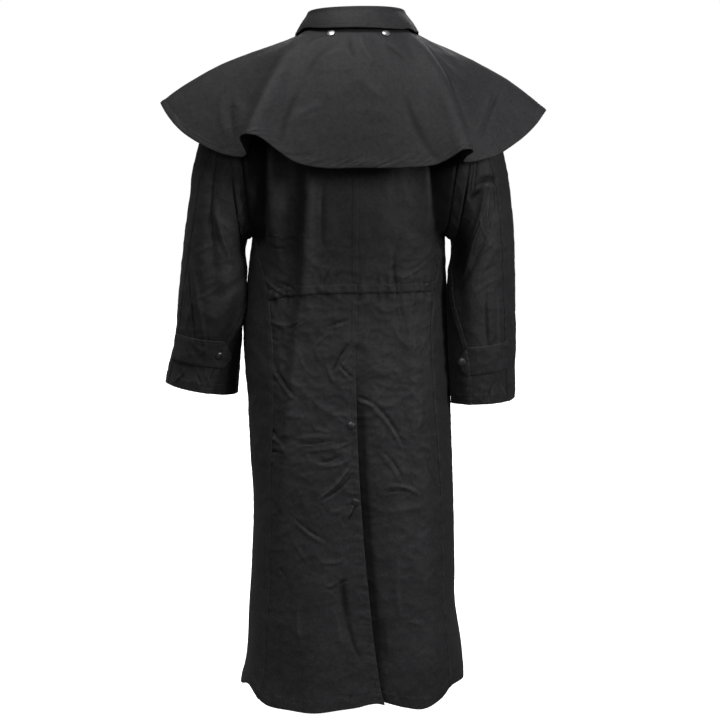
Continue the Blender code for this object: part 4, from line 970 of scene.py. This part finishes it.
def stitch_tree(thread):
    """Geometry nodes that lay stitches along every line of a mesh of edges."""
    tree = bpy.data.node_groups.new("stitch_rows", "GeometryNodeTree")
    tree.is_modifier = True
    face = tree.interface
    face.new_socket("Geometry", in_out="INPUT", socket_type="NodeSocketGeometry")
    sizes = {}
    sockets = (("Pitch", STITCH_PITCH), ("Stitch Length", STITCH_LENGTH), ("Thread Radius", THREAD_RADIUS))
    for name, value in sockets:
        sizes[name] = face.new_socket(name, in_out="INPUT", socket_type="NodeSocketFloat")
        sizes[name].default_value = value
    seed = face.new_socket("Seed", in_out="INPUT", socket_type="NodeSocketInt")
    seed.default_value = 7
    face.new_socket("Geometry", in_out="OUTPUT", socket_type="NodeSocketGeometry")

    def add(kind, **settings):
        made = tree.nodes.new(kind)
        for key, value in settings.items():
            setattr(made, key, value)
        return made

    start, end = add("NodeGroupInput"), add("NodeGroupOutput")
    curve = add("GeometryNodeMeshToCurve")
    spaced = add("GeometryNodeResampleCurve", mode="LENGTH")
    points = add("GeometryNodeInstanceOnPoints")
    ball = add("GeometryNodeMeshIcoSphere")
    ball.inputs["Subdivisions"].default_value = 1
    ball.inputs["Radius"].default_value = 1.0
    tangent = add("GeometryNodeInputTangent")
    turn = add("FunctionNodeAlignRotationToVector", axis="X")
    size = add("ShaderNodeCombineXYZ")
    half = add("ShaderNodeMath", operation="MULTIPLY")
    half.inputs[1].default_value = 0.5
    vary = add("FunctionNodeRandomValue", data_type="FLOAT")
    vary.inputs[2].default_value, vary.inputs[3].default_value = 0.86, 1.08
    long = add("ShaderNodeMath", operation="MULTIPLY")
    real = add("GeometryNodeRealizeInstances")
    painted = add("GeometryNodeSetMaterial")
    painted.inputs["Material"].default_value = thread
    for source, output, target, socket in (
        (start, "Geometry", curve, "Mesh"),
        (curve, "Curve", spaced, "Curve"),
        (start, "Pitch", spaced, "Length"),
        (spaced, "Curve", points, "Points"),
        (ball, "Mesh", points, "Instance"),
        (tangent, "Tangent", turn, "Vector"),
        (turn, "Rotation", points, "Rotation"),
        (start, "Stitch Length", half, 0),
        (start, "Seed", vary, "Seed"),
        (half, 0, long, 0),
        (vary, 1, long, 1),
        (long, 0, size, "X"),
        (start, "Thread Radius", size, "Y"),
        (start, "Thread Radius", size, "Z"),
        (size, "Vector", points, "Scale"),
        (points, "Instances", real, "Geometry"),
        (real, "Geometry", painted, "Geometry"),
        (painted, "Geometry", end, "Geometry"),
    ):
        tree.links.new(source.outputs[output], target.inputs[socket])
    return tree, {name: socket.identifier for name, socket in sizes.items()}


def stitches(name, lines, pitch=STITCH_PITCH, length=STITCH_LENGTH, radius=THREAD_RADIUS):
    """A plain mesh of stitches along lines of points."""
    points, edges = [], []
    for line in lines:
        edges += [(len(points) + k, len(points) + k + 1) for k in range(len(line) - 1)]
        points += np.asarray(line).tolist()
    mesh = bpy.data.meshes.new(name + "_rows")
    mesh.from_pydata(points, edges, [])
    rows = placed(name + "_rows", mesh)
    laid = rows.modifiers.new("stitches", "NODES")
    laid.node_group = stitching
    for key, value in (("Pitch", pitch), ("Stitch Length", length), ("Thread Radius", radius)):
        laid[stitching_sizes[key]] = value
    seen = bpy.context.evaluated_depsgraph_get()
    made = bpy.data.meshes.new_from_object(rows.evaluated_get(seen))
    made.name = name
    made.shade_smooth()
    rows.modifiers.clear()
    bpy.data.objects.remove(rows)
    piece = placed(name, made)
    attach(piece, "root")


def body_heights(step):
    """Heights of the body's rows, close together at the hem and wider apart under the cape."""
    low = HEM + np.concatenate([EDGE_STEPS, [0.0206, 0.0216, 0.0230, 0.0255]])
    middle = np.linspace(low[-1], UNDERARM, round((UNDERARM - low[-1]) / step) + 1)[1:]
    high = UNDERARM * np.linspace(1, 0, 46)[1:] ** 1.15
    return np.concatenate([low, middle, high])


def edges_of(name):
    """Which edge of a body panel lies at the coat's middle, and which at its side."""
    return ("low", "high") if name in ("back_right", "front_left") else ("high", "low")


def body_panels(word, step):
    """The two back or the two front panels, each with its creases, seams and hem."""
    rows = body_heights(step)
    edge = between(BACK_EDGE, rows)[0]
    under = ramp(VENT_TOP - 0.001 - rows, 0, VENT_STEP) * VENT_UNDERLAP
    middle = NECK_CENTRE * ramp(rows, -0.25, 0.0)
    lapped = ramp(rows - VENT_TOP, 0, 0.004)
    start = body_angle(edge - LAP * lapped, rows) + GAP_ANGLE
    stop = body_angle(edge + under, rows) - np.where(under > 0, 0, GAP_ANGLE)
    lap = LAP_ANGLE * ramp(UNDERARM - rows, 0, 0.02)
    left_front = body_angle(middle - FRONT_OVERLAP / 2, rows, -1) % 360
    right_front = body_angle(middle + FRONT_OVERLAP / 2, rows, -1) % 360 - 360
    made = {
        "back_left": (body, seam_angle(1, rows) - GAP_ANGLE, start),
        "back_right": (lambda a, h: body(a, h, vent_sink), stop, GAP_ANGLE - seam_angle(-1, rows)),
        "front_left": (body, left_front, seam_angle(1, rows, -1) - lap),
        "front_right": (lambda a, h: body(a, h, front_sink), lap - seam_angle(-1, rows, -1), right_front),
    }
    for seed, (name, (surface, low, high)) in enumerate(made.items()):
        if word not in name:
            continue
        panel = laid_out(surface, rows, low, high, step)
        x, z = panel.points[..., 0], panel.points[..., 2]
        centre, side = (panel.beside(edge) for edge in edges_of(name))
        angle = (panel.u + 180) % 360 - 180
        calm = ramp(np.abs(90 - np.abs(angle)), 2, 14)
        shown = ramp(-z, 0.16, 0.24)
        level = seen_flat(panel.points) if "back" in name else (x, z)
        # The creases' heights also colour the cloth: crests lighter as wear and painted highlight, troughs
        # darker as painted shade
        worn_and_painted_light = creased(*level, BACK_CREASES if "back" in name else FRONT_CREASES) * calm
        rise = worn_and_painted_light.copy()
        if "back" in name:
            for ridge in SOFT_RIDGES:
                rise += fold_rise(x, z, ridge) * calm
            # Painted shade in the hollows of the back's deep folds
            for face, *fold in BODY_FOLDS:
                if face > 0 and fold[-1] < DEEP_FOLD:
                    worn_and_painted_light += FOLD_SHADE * fold_rise(x, z, fold)
            # Painted shade beyond the side folds, under the cape
            beyond = ramp(np.where(x > 0, x - 0.008, -x), 0.152, 0.164)
            worn_and_painted_light -= SIDE_SHADE * beyond * ramp(z, -0.42, -0.38)
        middle_height = np.exp(-(((z + 0.62) / 0.30) ** 2)) + 0.35
        rise += crumple(panel.points * SQUEEZE, 0.060, 0.0016, 1) * shown * calm * middle_height
        rise += crumple(panel.points * SQUEEZE, 0.026, 0.0009, 2) * shown * middle_height
        rise += soft_noise(panel.points, 0.090, 0.0016, 5) * shown * calm
        rise += soft_noise(panel.points, 0.020, 0.0004, 9) * shown
        rise += hem(panel.beside("first"), panel.across, seed + 20)
        if "front" in name:
            rise += fell(side, -z, seed % 2 + 30) + hem(centre, panel.along, seed + 40, 0.030)
            # Painted highlight along the side seam
            beside_seam = np.exp(-(((side - 0.0012) / 0.0020) ** 2))
            worn_and_painted_light += SEAM_HIGHLIGHT * beside_seam * (0.8 + 0.5 * uneven(-z, 0.03, 35))
        else:
            rise += under_seam(side, -z, seed % 2 + 30)
            if name == "back_left":
                rise += fell(centre, -z, 40) * lapped[:, None]
                rise += hem(centre, panel.along, 50, 0.008) * (1 - lapped[:, None])
            else:
                rise += under_seam(centre, -z, 40, 0.0004, 0.003) * lapped[:, None]
                # Painted shade along the centre seam, where this panel goes under the left one
                worn_and_painted_light += shade_along_seam(centre) * lapped[:, None]
                # Painted shade in the vent, beyond the left panel's edge
                deep = ramp(-z, 0.61, 0.76) * (1 - 0.6 * ramp(-z, 1.10, 1.24))
                beyond = np.clip(centre - VENT_UNDERLAP, 0, None)
                worn_and_painted_light -= VENT_SHADE * deep * np.exp(-((beyond / 0.014) ** 2))
        rise += channel_puckers(panel, angle, z)
        panels[name] = panel.raised(rise, worn_and_painted_light)


def channel_puckers(panel, angle, z):
    """The short upright gathers above and below the waist channel."""
    middle = between(CHANNEL_MIDDLE, angle)[0]
    beyond = np.abs(z - middle) - CHANNEL_HEIGHT / 2
    drawn = ramp(CHANNEL_REACH - np.abs(angle), -2, 6)
    along = (angle + 90) * BACK_ARC
    wave = uneven(along, 0.0062, 3) + 0.6 * uneven(along, 0.0031, 4)
    reach = 0.010 + 0.010 * (0.5 + 0.5 * uneven(along, 0.021, 6))
    inside = np.exp(-((np.clip(beyond, 0, None) / reach) ** 2)) * ramp(beyond, -0.004, 0.0005)
    return 0.0012 * wave * inside * drawn


def sleeve_shares():
    """Shares of a sleeve's rows, close together at its cuff."""
    near = 1 - EDGE_STEPS[::-1] / SLEEVE_LENGTH
    more = 1 - np.array([0.0255, 0.0230, 0.0216, 0.0206]) / SLEEVE_LENGTH
    body_rows = np.linspace(0, more[0] - SLEEVE_STEP / SLEEVE_LENGTH, round(0.59 / SLEEVE_STEP))
    return np.concatenate([body_rows, more, near])


def sleeve_panels(side):
    """A sleeve's under panel at the back and its top panel round the front."""
    surface, rows = sleeve(side), sleeve_shares()
    outer, inner = between(SLEEVE_SEAMS[side], rows)
    creases = [on_cloth(crease) for crease in SLEEVE_CREASES[side]]
    made = {
        "under": (outer + SLEEVE_GAP_ANGLE, inner - SLEEVE_GAP_ANGLE),
        "top": (inner - SLEEVE_LAP_ANGLE, 360 + outer + SLEEVE_LAP_ANGLE),
    }
    for seed, (part, (low, high)) in enumerate(made.items()):
        low, high = (high, low) if side > 0 else (low, high)
        panel = laid_out(surface, rows, low, high, SLEEVE_STEP if part == "under" else HIDDEN_STEP)
        wrapped = np.where(panel.u > 215, panel.u - 360, panel.u) * ARC_PER_DEGREE
        along = rows[:, None] * SLEEVE_LENGTH
        calm = 1 - 0.75 * np.exp(-(((panel.u % 360 - 185) / 34) ** 2))
        shown = ramp(rows, 0.03, 0.10)[:, None]
        sides = sum(fold_rise(along, wrapped, on_cloth(hollow)) for hollow in SLEEVE_HOLLOWS[side])
        # The creases' heights and part of the long hollows colour the sleeve: crests lighter as wear and
        # painted highlight, troughs and hollows darker as painted shade
        worn_and_painted_light = creased(along, wrapped, creases) * shown * calm + HOLLOW_SHADE * sides
        # Painted shade beside the armhole band on the inner side, which also sinks the cloth a little
        from_band = (panel.along - BAND_WIDTH - 0.0075) / 0.0045
        inward = ramp(panel.u, 96, 112) * (1 - ramp(panel.u, 150, 172))
        worn_and_painted_light -= BAND_SHADE * np.exp(-(from_band**2)) * inward
        rise = worn_and_painted_light + (1 - HOLLOW_SHADE) * sides
        rise += crumple(panel.points, 0.055, 0.0012, 47 + side) * shown * calm
        rise += crumple(panel.points, 0.026, 0.0008, 51 + side) * shown
        rise += soft_noise(panel.points, 0.070, 0.0020, 55 + side) * shown * calm
        rise += soft_noise(panel.points, 0.020, 0.0004, 59 + side) * shown
        rise += hem(panel.beside("last"), panel.across, seed + 60)
        outer_edge, inner_edge = ("low", "high") if (part == "under") == (side < 0) else ("high", "low")
        beside_outer, beside_inner = panel.beside(outer_edge), panel.beside(inner_edge)
        if part == "top":
            rise += fell(beside_outer, along, 70) + fell(beside_inner, along, 80)
            # Painted shade on the top panel beside its inner seam
            shade = ramp(rows, 0.40, 0.60)[:, None] * ramp(beside_inner, 0.008, 0.016)
            worn_and_painted_light -= INNER_SHADE * shade * np.exp(-((beside_inner / 0.040) ** 2))
        else:
            for beside, own in ((beside_outer, 70), (beside_inner, 80)):
                rise += under_seam(beside, along, own)
                # Painted shade along the seam
                worn_and_painted_light += shade_along_seam(beside, SLEEVE_SEAM_SHADE)
        panels[f"sleeve_{SIDES[side]}_{part}"] = panel.raised(rise, worn_and_painted_light)


def on_sleeve(side, angle, share, out):
    """Points on a sleeve's panels at angles and shares, moved out."""
    angle, share = np.broadcast_arrays(np.asarray(angle, float), np.asarray(share, float))
    outer, inner = between(SLEEVE_SEAMS[side], share)
    angle = np.where(angle < outer, angle + 360, angle)
    under = angle < inner
    points = np.empty((*angle.shape, 3))
    for part, own in (("under", under), ("top", ~under)):
        panel = panels[f"sleeve_{SIDES[side]}_{part}"]
        row, column = panel.find(angle[own], share[own])
        points[own] = panel.at(row, column, out[own])[0]
    return points


def armhole_band(side):
    """The felled band that covers the armhole seam, puckered by the fullness under it."""
    angles = np.linspace(0, 360, 241)[::-side]
    shares = np.linspace(0, 0.4, 61)
    reach = lengths(sleeve(side)(angles[None, :], shares[:, None]), 0)
    broad = BAND_WIDTH * (1 - 0.5 * np.exp(-(((angles - 180) / 20) ** 2)))
    far = np.array([np.interp(width, reach[:, k], shares) for k, width in enumerate(broad)])
    lines = np.linspace(0, 1, 15)
    share = 0.004 + far[None, :] * lines[:, None]
    around = angles * TRIM_ARC
    wave = uneven(around, 0.0105, 90 + side) * 0.6 + uneven(around, 0.0052, 93 + side) * 0.5
    puff = np.sin(np.pi * lines)[:, None] ** 0.8
    lift = TRIM_WALL + LAYER_GAP + BAND_SEAT + (0.0007 + 0.0011 * wave[None, :]) * puff
    made = Panel(on_sleeve(side, np.broadcast_to(angles, share.shape), share, lift))
    # Painted highlight on the band's puffs
    made.wear_and_painted_light = 0.0012 * (1 + 0.8 * wave[None, :]) * puff
    return made


def cuff_strap(side):
    """The pointed strap sewn into the outer sleeve seam."""
    middle, half, drop, past, _ = STRAPS[side]
    outer, inner = between(SLEEVE_SEAMS[side], middle)
    ends = np.linspace(0, 1, 64) ** 0.8
    angles = outer + SLEEVE_GAP_ANGLE + (inner + past - outer) * ends
    to_tip = (angles[-1] - angles) * TRIM_ARC
    taper = np.clip(0.10 + 0.90 * (to_tip / 0.024) ** 0.8, 0, 1)
    lines = np.linspace(-1, 1, 27)
    way = np.interp(angles, (outer, inner, inner + 0.12 * past, inner + past), (0, 0.7, 0.8, 1))
    from_middle = drop / SLEEVE_LENGTH * (way[None, :] - 0.5)
    share = middle + from_middle + half / SLEEVE_LENGTH * taper[None, :] * lines[:, None]
    beside = (1 - np.abs(lines))[:, None] * half
    around = angles * TRIM_ARC
    row = np.exp(-(((beside - STRAP_ROW) / 0.0010) ** 2))
    wave = uneven(around, 0.0120, 97 + side)[None, :] * np.exp(-((beside / 0.010) ** 2))
    lift = TRIM_WALL + LAYER_GAP + STRAP_SEAT + 0.0006 * (1 - np.exp(-((beside / 0.004) ** 2)))
    lift = lift - 0.0003 * row + 0.0004 * wave
    points = on_sleeve(side, np.broadcast_to(angles, share.shape), share, lift)
    return Panel(points[:, ::-side])


def cape_panel():
    """The shoulder cape, with its creases and its turned and stitched edges."""
    even = np.arange(-CAPE_REACH, CAPE_REACH + 0.01, DIRECTION_STEP)
    pull = sum(6.5 * np.sin(np.pi * np.clip((even - c) / 44, -1, 1)) for c in (-60, 58))
    directions = (even - pull)[::-1]
    shares = np.concatenate([1 - EDGE_STEPS / 0.30, np.linspace(0.93, 0, 62)])
    grid = np.broadcast_to(directions, (len(shares), len(directions)))
    panel = Panel(cape(grid, shares[:, None]), grid, shares)
    crest = np.zeros(grid.shape)
    for d0, s0, d1, s1, breadth, rise, bend in CAPE_CREASES:
        ends = cape(np.array([d0, d1], float), np.array([s0, s1], float))
        crest += crease_in_space(panel.points, ends[0], ends[1], breadth, rise, bend)
    shown = ramp(shares, 0.02, 0.14)[:, None]
    # The creases' heights also colour the cape: crests lighter as wear and painted highlight, troughs darker
    # as painted shade
    worn_and_painted_light = crest * shown
    rise = worn_and_painted_light + crumple(panel.points, 0.050, 0.0004, 11) * shown
    rise += soft_noise(panel.points, 0.120, 0.0030, 12) * shown
    rise += soft_noise(panel.points, 0.045, 0.0006, 13) * shown
    rise += hem(panel.beside("first"), panel.across, 14, 0.0095)
    for edge in ("low", "high"):
        rise += hem(panel.beside(edge), panel.along, 15, 0.0095)
    return panel.raised(rise, worn_and_painted_light)


def crease_in_space(points, start, end, breadth, rise, bend):
    """How far a crease lifts the cloth, between two points of a surface that curves."""
    way = end - start
    from_start = points - start
    held = np.clip((from_start @ way) / np.linalg.norm(way) ** 2, 0, 1)
    side = unit(np.cross(way, (0.0, 0.6, 0.8)))
    gap = from_start - held[..., None] * way - side * (bend * 4 * held * (1 - held))[..., None]
    return crease_height(np.linalg.norm(gap, axis=-1) / breadth, held, rise)


def smooth_rows(rows, count):
    """More rows on a smooth curve through a few, by their lengths along the middle column."""
    spots = np.array(rows)
    middle = spots[:, spots.shape[1] // 2]
    along = np.concatenate([[0], np.cumsum(np.linalg.norm(np.diff(middle, axis=0), axis=-1))])
    table = np.concatenate([along[:, None], spots.reshape(len(rows), -1)], 1)
    keys = np.linspace(0, along[-1], count)
    return np.moveaxis(between(table, keys), 0, -1).reshape(count, -1, 3)


def collar_panels():
    """The collar's stand, inside the neck seam, and its fall, which rolls over and lies on the cape."""
    directions = np.linspace(COLLAR_REACH, -COLLAR_REACH, 169)
    base = neckline(directions)
    out_x = (base[:, 0] - NECK_CENTRE) / NECK_HALF_WIDTH**2
    out = unit(stack(out_x, base[:, 1] / NECK_BACK_DEPTH**2, 0.0))
    top, reach, above = between(COLLAR, np.abs(directions))
    inset = COLLAR_INSET + (0.002 + OVERLAP_GAP) * ramp(np.abs(directions), 115, 145)
    top = top - COLLAR_TILT * np.sin(np.radians(directions))
    high = stack(base[:, 0], base[:, 1], top) - out * (COLLAR_LEAN + inset - COLLAR_INSET)[:, None]
    low = base - out * inset[:, None]
    stand = smooth_rows([low, low * 0.5 + high * 0.5, high], 14)
    rolled = [high + out * away + np.array((0, 0, up)) for away, up in COLLAR_ROLL]
    lifted = cape_lift(directions, reach, above)
    middle = rolled[-1] * 0.5 + lifted * 0.5 + out * 0.0015
    fall = smooth_rows([*rolled, middle, lifted], 30)[::-1]
    return Panel(stand), Panel(fall)


def cape_lift(direction, share, above):
    """Points above the cape by a height along its own outward direction."""
    across = cape(direction + 2.0, share) - cape(direction - 2.0, share)
    along = cape(direction, share + 0.02) - cape(direction, share - 0.02)
    return cape(direction, share) + unit(np.cross(across, along)) * np.asarray(above)[:, None]


def waist_channel():
    """The drawcord's channel on the back panels, drawn into uneven gathers."""
    columns = GATHERS * 14
    angle = np.linspace(CHANNEL_REACH, -CHANNEL_REACH, columns + 1)
    lines = np.linspace(-1, 1, 17)[:, None]
    share = np.linspace(0, GATHERS, columns + 1)
    shifted = share + 0.30 * uneven(share, 1.0, 31)
    depth = GATHER_DEPTH * (0.42 + 0.34 * uneven(share, 0.9, 32))
    wave = (0.5 - 0.5 * np.cos(2 * np.pi * shifted)) * depth
    height = between(CHANNEL_MIDDLE, angle)[0] + lines * CHANNEL_HEIGHT / 2
    height = height + 0.0007 * uneven(share, 0.7, 33)
    outward = np.abs(lines)
    puff = 0.0006 * (1 - outward**4) - 0.0009 * outward**6
    sewn = np.exp(-(((outward - 0.80) / 0.09) ** 2))
    lift = CHANNEL_WALL + CHANNEL_SEAT + puff + wave * (0.8 - 0.45 * sewn) - 0.0004 * sewn
    spread_angle = np.broadcast_to(angle, height.shape)
    points = np.empty((*height.shape, 3))
    seam = body_angle(between(BACK_EDGE, height)[0], height)
    for name, own in (("back_left", spread_angle >= seam), ("back_right", spread_angle < seam)):
        panel = panels[name]
        row, column = panel.find(spread_angle[own], height[own])
        points[own] = panel.at(row, column, lift[own])[0]
    made = Panel(points)
    # Painted shade in the gathers along the stitched rows, most in the lower one, and along the channel's
    # edges
    made.wear_and_painted_light = -0.0022 * sewn * (0.75 - 0.25 * np.sign(lines)) * ramp(wave, 0.0003, 0.0010)
    made.wear_and_painted_light = made.wear_and_painted_light - 0.0012 * np.exp(-(((1 - outward) / 0.10) ** 2))
    return made


def snap(name, target, carrier, metal):
    """A snap: a domed cap with a rolled rim, seated just above the cloth."""
    profile = [
        (0.0, 0.98), (0.20, 0.975), (0.42, 0.93), (0.62, 0.84), (0.78, 0.70), (0.86, 0.58), (0.90, 0.53),
        (0.95, 0.56), (0.99, 0.46), (1.0, 0.30), (0.98, 0.12), (0.92, 0.0), (0.0, 0.0),
    ]
    turns = 40
    point, normal = carrier.nearest(target)
    point = point + normal * SNAP_LIFT
    points, faces = [], []
    tilt = Vector((0, 0, 1)).rotation_difference(normal)
    for r, z in profile[1:-1]:
        for k in range(turns):
            a = math.tau * k / turns
            spot = Vector((r * SNAP_RADIUS * math.cos(a), r * SNAP_RADIUS * math.sin(a), z * SNAP_HEIGHT))
            points.append(point + tilt @ spot)
    for i in range(len(profile) - 3):
        for k in range(turns):
            a, b = i * turns + k, i * turns + (k + 1) % turns
            faces.append((b, a, a + turns, b + turns))
    for z, ring, way in ((profile[0][1], 0, 1), (0.0, len(profile) - 3, -1)):
        points.append(point + tilt @ Vector((0, 0, z * SNAP_HEIGHT)))
        for k in range(turns):
            pair = (ring * turns + k, ring * turns + (k + 1) % turns)
            faces.append((len(points) - 1, *pair[::way]))
    piece = placed(name + "_cap", solid_mesh(name + "_cap", points, faces, metal))
    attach(piece, "root")
    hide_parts(name)


def snaps():
    """The snaps of the cape, the vent, the cuffs and the front."""
    for word, (x, height) in VENT_SNAPS.items():
        target = body(body_angle(x, height), height)
        snap(f"vent_snap_{word}", target, panels["back_left"], dark_metal)
    for i, height in enumerate(FRONT_SNAP_HEIGHTS):
        target = body(body_angle(0.0, height, -1), height)
        snap(f"front_snap_{i + 1}", target, panels["front_left"], dark_metal)
    for word, direction in CAPE_SNAPS.items():
        snap(f"cape_snap_{word}", cape(direction, CAPE_SNAP_SHARE), panels["cape"], light_metal)
    for side, word in SIDES.items():
        middle, _, drop, _, angle = STRAPS[side]
        target = sleeve(side)(angle, middle + 0.3 * drop / SLEEVE_LENGTH)
        snap(f"cuff_snap_{word}", target, panels[f"cuff_strap_{word}"], dark_metal)


def dress():
    """Makes every cloth piece a shell, and hides the part that it stands for."""
    walls = {"armhole": TRIM_WALL, "cuff": TRIM_WALL, "waist": CHANNEL_WALL}
    for name, panel in panels.items():
        piece = cloth(name + "_cloth", panel, walls.get(name.split("_")[0], WALL))
        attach(piece, "root")
        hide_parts(name)


def sew():
    """Rows of stitches along the seams, hems, bands and straps."""
    rows = {"body": [], "sleeves": [], "cape": [], "trims": []}
    ends, hem_row = ("first", "last"), (HEM_WIDTH - 0.001,)
    seam_rows = (FELL_ROW, FELL_WIDTH - FELL_FAR_ROW)

    def add(group, name, edges, distances, start=0.0, stop=1.0):
        for edge in edges:
            for distance in distances:
                rows[group].append(panels[name].line(edge, distance, STITCH_LIFT, start, stop))

    for name in ("back_left", "back_right", "front_left", "front_right"):
        inner, outer = edges_of(name)
        add("body", name, ("first",), hem_row)
        if "front" in name:
            add("body", name, (outer,), seam_rows, 0.0, 0.68)
            add("body", name, (inner,), (0.0030, 0.029))
        elif name == "back_left":
            add("body", name, (inner,), seam_rows, 0.50, 0.92)
            add("body", name, (inner,), (0.007,), 0.0, 0.50)
    for word in SIDES.values():
        for part in ("under", "top"):
            add("sleeves", f"sleeve_{word}_{part}", ("last",), hem_row)
        add("sleeves", f"sleeve_{word}_top", ("low", "high"), seam_rows, 0.06)
        add("trims", "armhole_band_" + word, ends, (EDGE_ROW,))
        add("trims", "cuff_strap_" + word, ends, (STRAP_ROW,))
    add("cape", "cape", ("first",), (EDGE_ROW, CAPE_ROW))
    add("cape", "cape", ("low", "high"), (CAPE_ROW,))
    add("trims", "collar_fall", ("first",), (EDGE_ROW, 0.0075))
    add("trims", "waist_channel", ends, (0.0019,))
    for name, lines in rows.items():
        stitches("stitching_" + name, lines)


def bar_tack():
    """The dense tack and the row of stitches across the vent's top."""

    def across(name, height, start, stop, count, out):
        line = [body_angle(x, height) for x in np.linspace(start, stop, count)]
        found = panels[name].find(np.array(line), np.full(count, height))
        return panels[name].at(*found, out)[0]

    heights = [VENT_TOP + 0.004 + 0.0007 * k for k in range(9)]
    rows = [across("back_left", height, -0.004, 0.006, 8, TACK_LIFT) for height in heights]
    stitches("bar_tack", rows, TACK_PITCH, TACK_LENGTH, TACK_RADIUS)
    row = across("back_right", VENT_TOP + 0.002, -0.010, -0.066, 16, STITCH_LIFT)
    stitches("vent_top_stitches", [row])


def lights_and_floor():
    """Plain soft studio light, and a pale floor under the hem."""
    world = bpy.data.worlds.new("studio")
    scene.world = world
    world.use_nodes = True
    tree = world.node_tree
    soft, white = tree.nodes["Background"], tree.nodes.new("ShaderNodeBackground")
    for background, strength in ((soft, SOFT_LIGHT), (white, 1.0)):
        background.inputs[0].default_value, background.inputs[1].default_value = (1, 1, 1, 1), strength
    seen = tree.nodes.new("ShaderNodeLightPath")
    both = tree.nodes.new("ShaderNodeMixShader")
    tree.links.new(seen.outputs["Is Camera Ray"], both.inputs[0])
    tree.links.new(soft.outputs[0], both.inputs[1])
    tree.links.new(white.outputs[0], both.inputs[2])
    tree.links.new(both.outputs[0], tree.nodes["World Output"].inputs[0])
    sun = bpy.data.lights.new("sun", "SUN")
    sun.energy, sun.angle = SUN_STRENGTH, math.radians(SUN_SPREAD)
    aimed(placed("sun", sun), SUN_PLACE, (0, 0, 0))
    for name, place, target, size, power in LAMPS:
        light = bpy.data.lights.new(name, "AREA")
        light.size, light.energy = size, power
        lamp = placed(name, light)
        lamp.location = place
        aimed(lamp, place, target)
    far = 9
    mesh = bpy.data.meshes.new("floor")
    corners = [(-far, -far, FLOOR), (far, -far, FLOOR), (far, far, FLOOR), (-far, far, FLOOR)]
    mesh.from_pydata(corners, [], [(0, 1, 2, 3)])
    mesh.materials.append(floor_finish())
    floor = placed("floor", mesh)
    floor.visible_diffuse = floor.visible_glossy = False


def aimed(light, place, target):
    light.rotation_euler = (Vector(target) - Vector(place)).to_track_quat("-Z", "Y").to_euler()


def camera():
    """The camera at the photograph's place, behind the coat and a little above its middle."""
    data = bpy.data.cameras.new("photo")
    data.lens, data.sensor_width = CAMERA_LENS, 36
    scene.camera = placed("photo", data)
    scene.camera.location = CAMERA
    scene.camera.rotation_euler = (math.radians(CAMERA_PITCH), 0, math.radians(180))


FLOOR = -1.42
SOFT_LIGHT, FLOOR_GLOW = 0.10, 0.78
SUN_STRENGTH, SUN_SPREAD, SUN_PLACE = 2.9, 35, (0.35, 0.45, 2.2)
# Each lamp's place, what it points at, its size and its power
LAMPS = (
    ("key", (-2.3, 1.9, 0.5), (0, 0, -0.55), 0.9, 53),
    ("fill", (0.6, 3.0, 0.6), (0, 0, -0.6), 1.4, 15),
    ("front", (-0.4, -3.0, 1.4), (0, 0, -0.5), 2.2, 50),
)

scene = bpy.context.scene
scene.view_settings.view_transform = "Standard"
camera()
waxed_cloth = waxed_cotton()
dark_metal = snap_metal("snap_metal_dark", (0.045, 0.045, 0.048), (0.14, 0.14, 0.15), 0.36)
light_metal = snap_metal("snap_metal_light", (0.30, 0.30, 0.31), (0.52, 0.52, 0.53), 0.34)
stitching, stitching_sizes = stitch_tree(seam_thread())
panels = {}
body_panels("back", BACK_STEP)
body_panels("front", HIDDEN_STEP)
for side, word in SIDES.items():
    sleeve_panels(side)
    panels["armhole_band_" + word] = armhole_band(side)
    panels["cuff_strap_" + word] = cuff_strap(side)
panels["cape"] = cape_panel()
panels["collar_stand"], panels["collar_fall"] = collar_panels()
panels["waist_channel"] = waist_channel()
dress()
snaps()
sew()
bar_tack()
lights_and_floor()
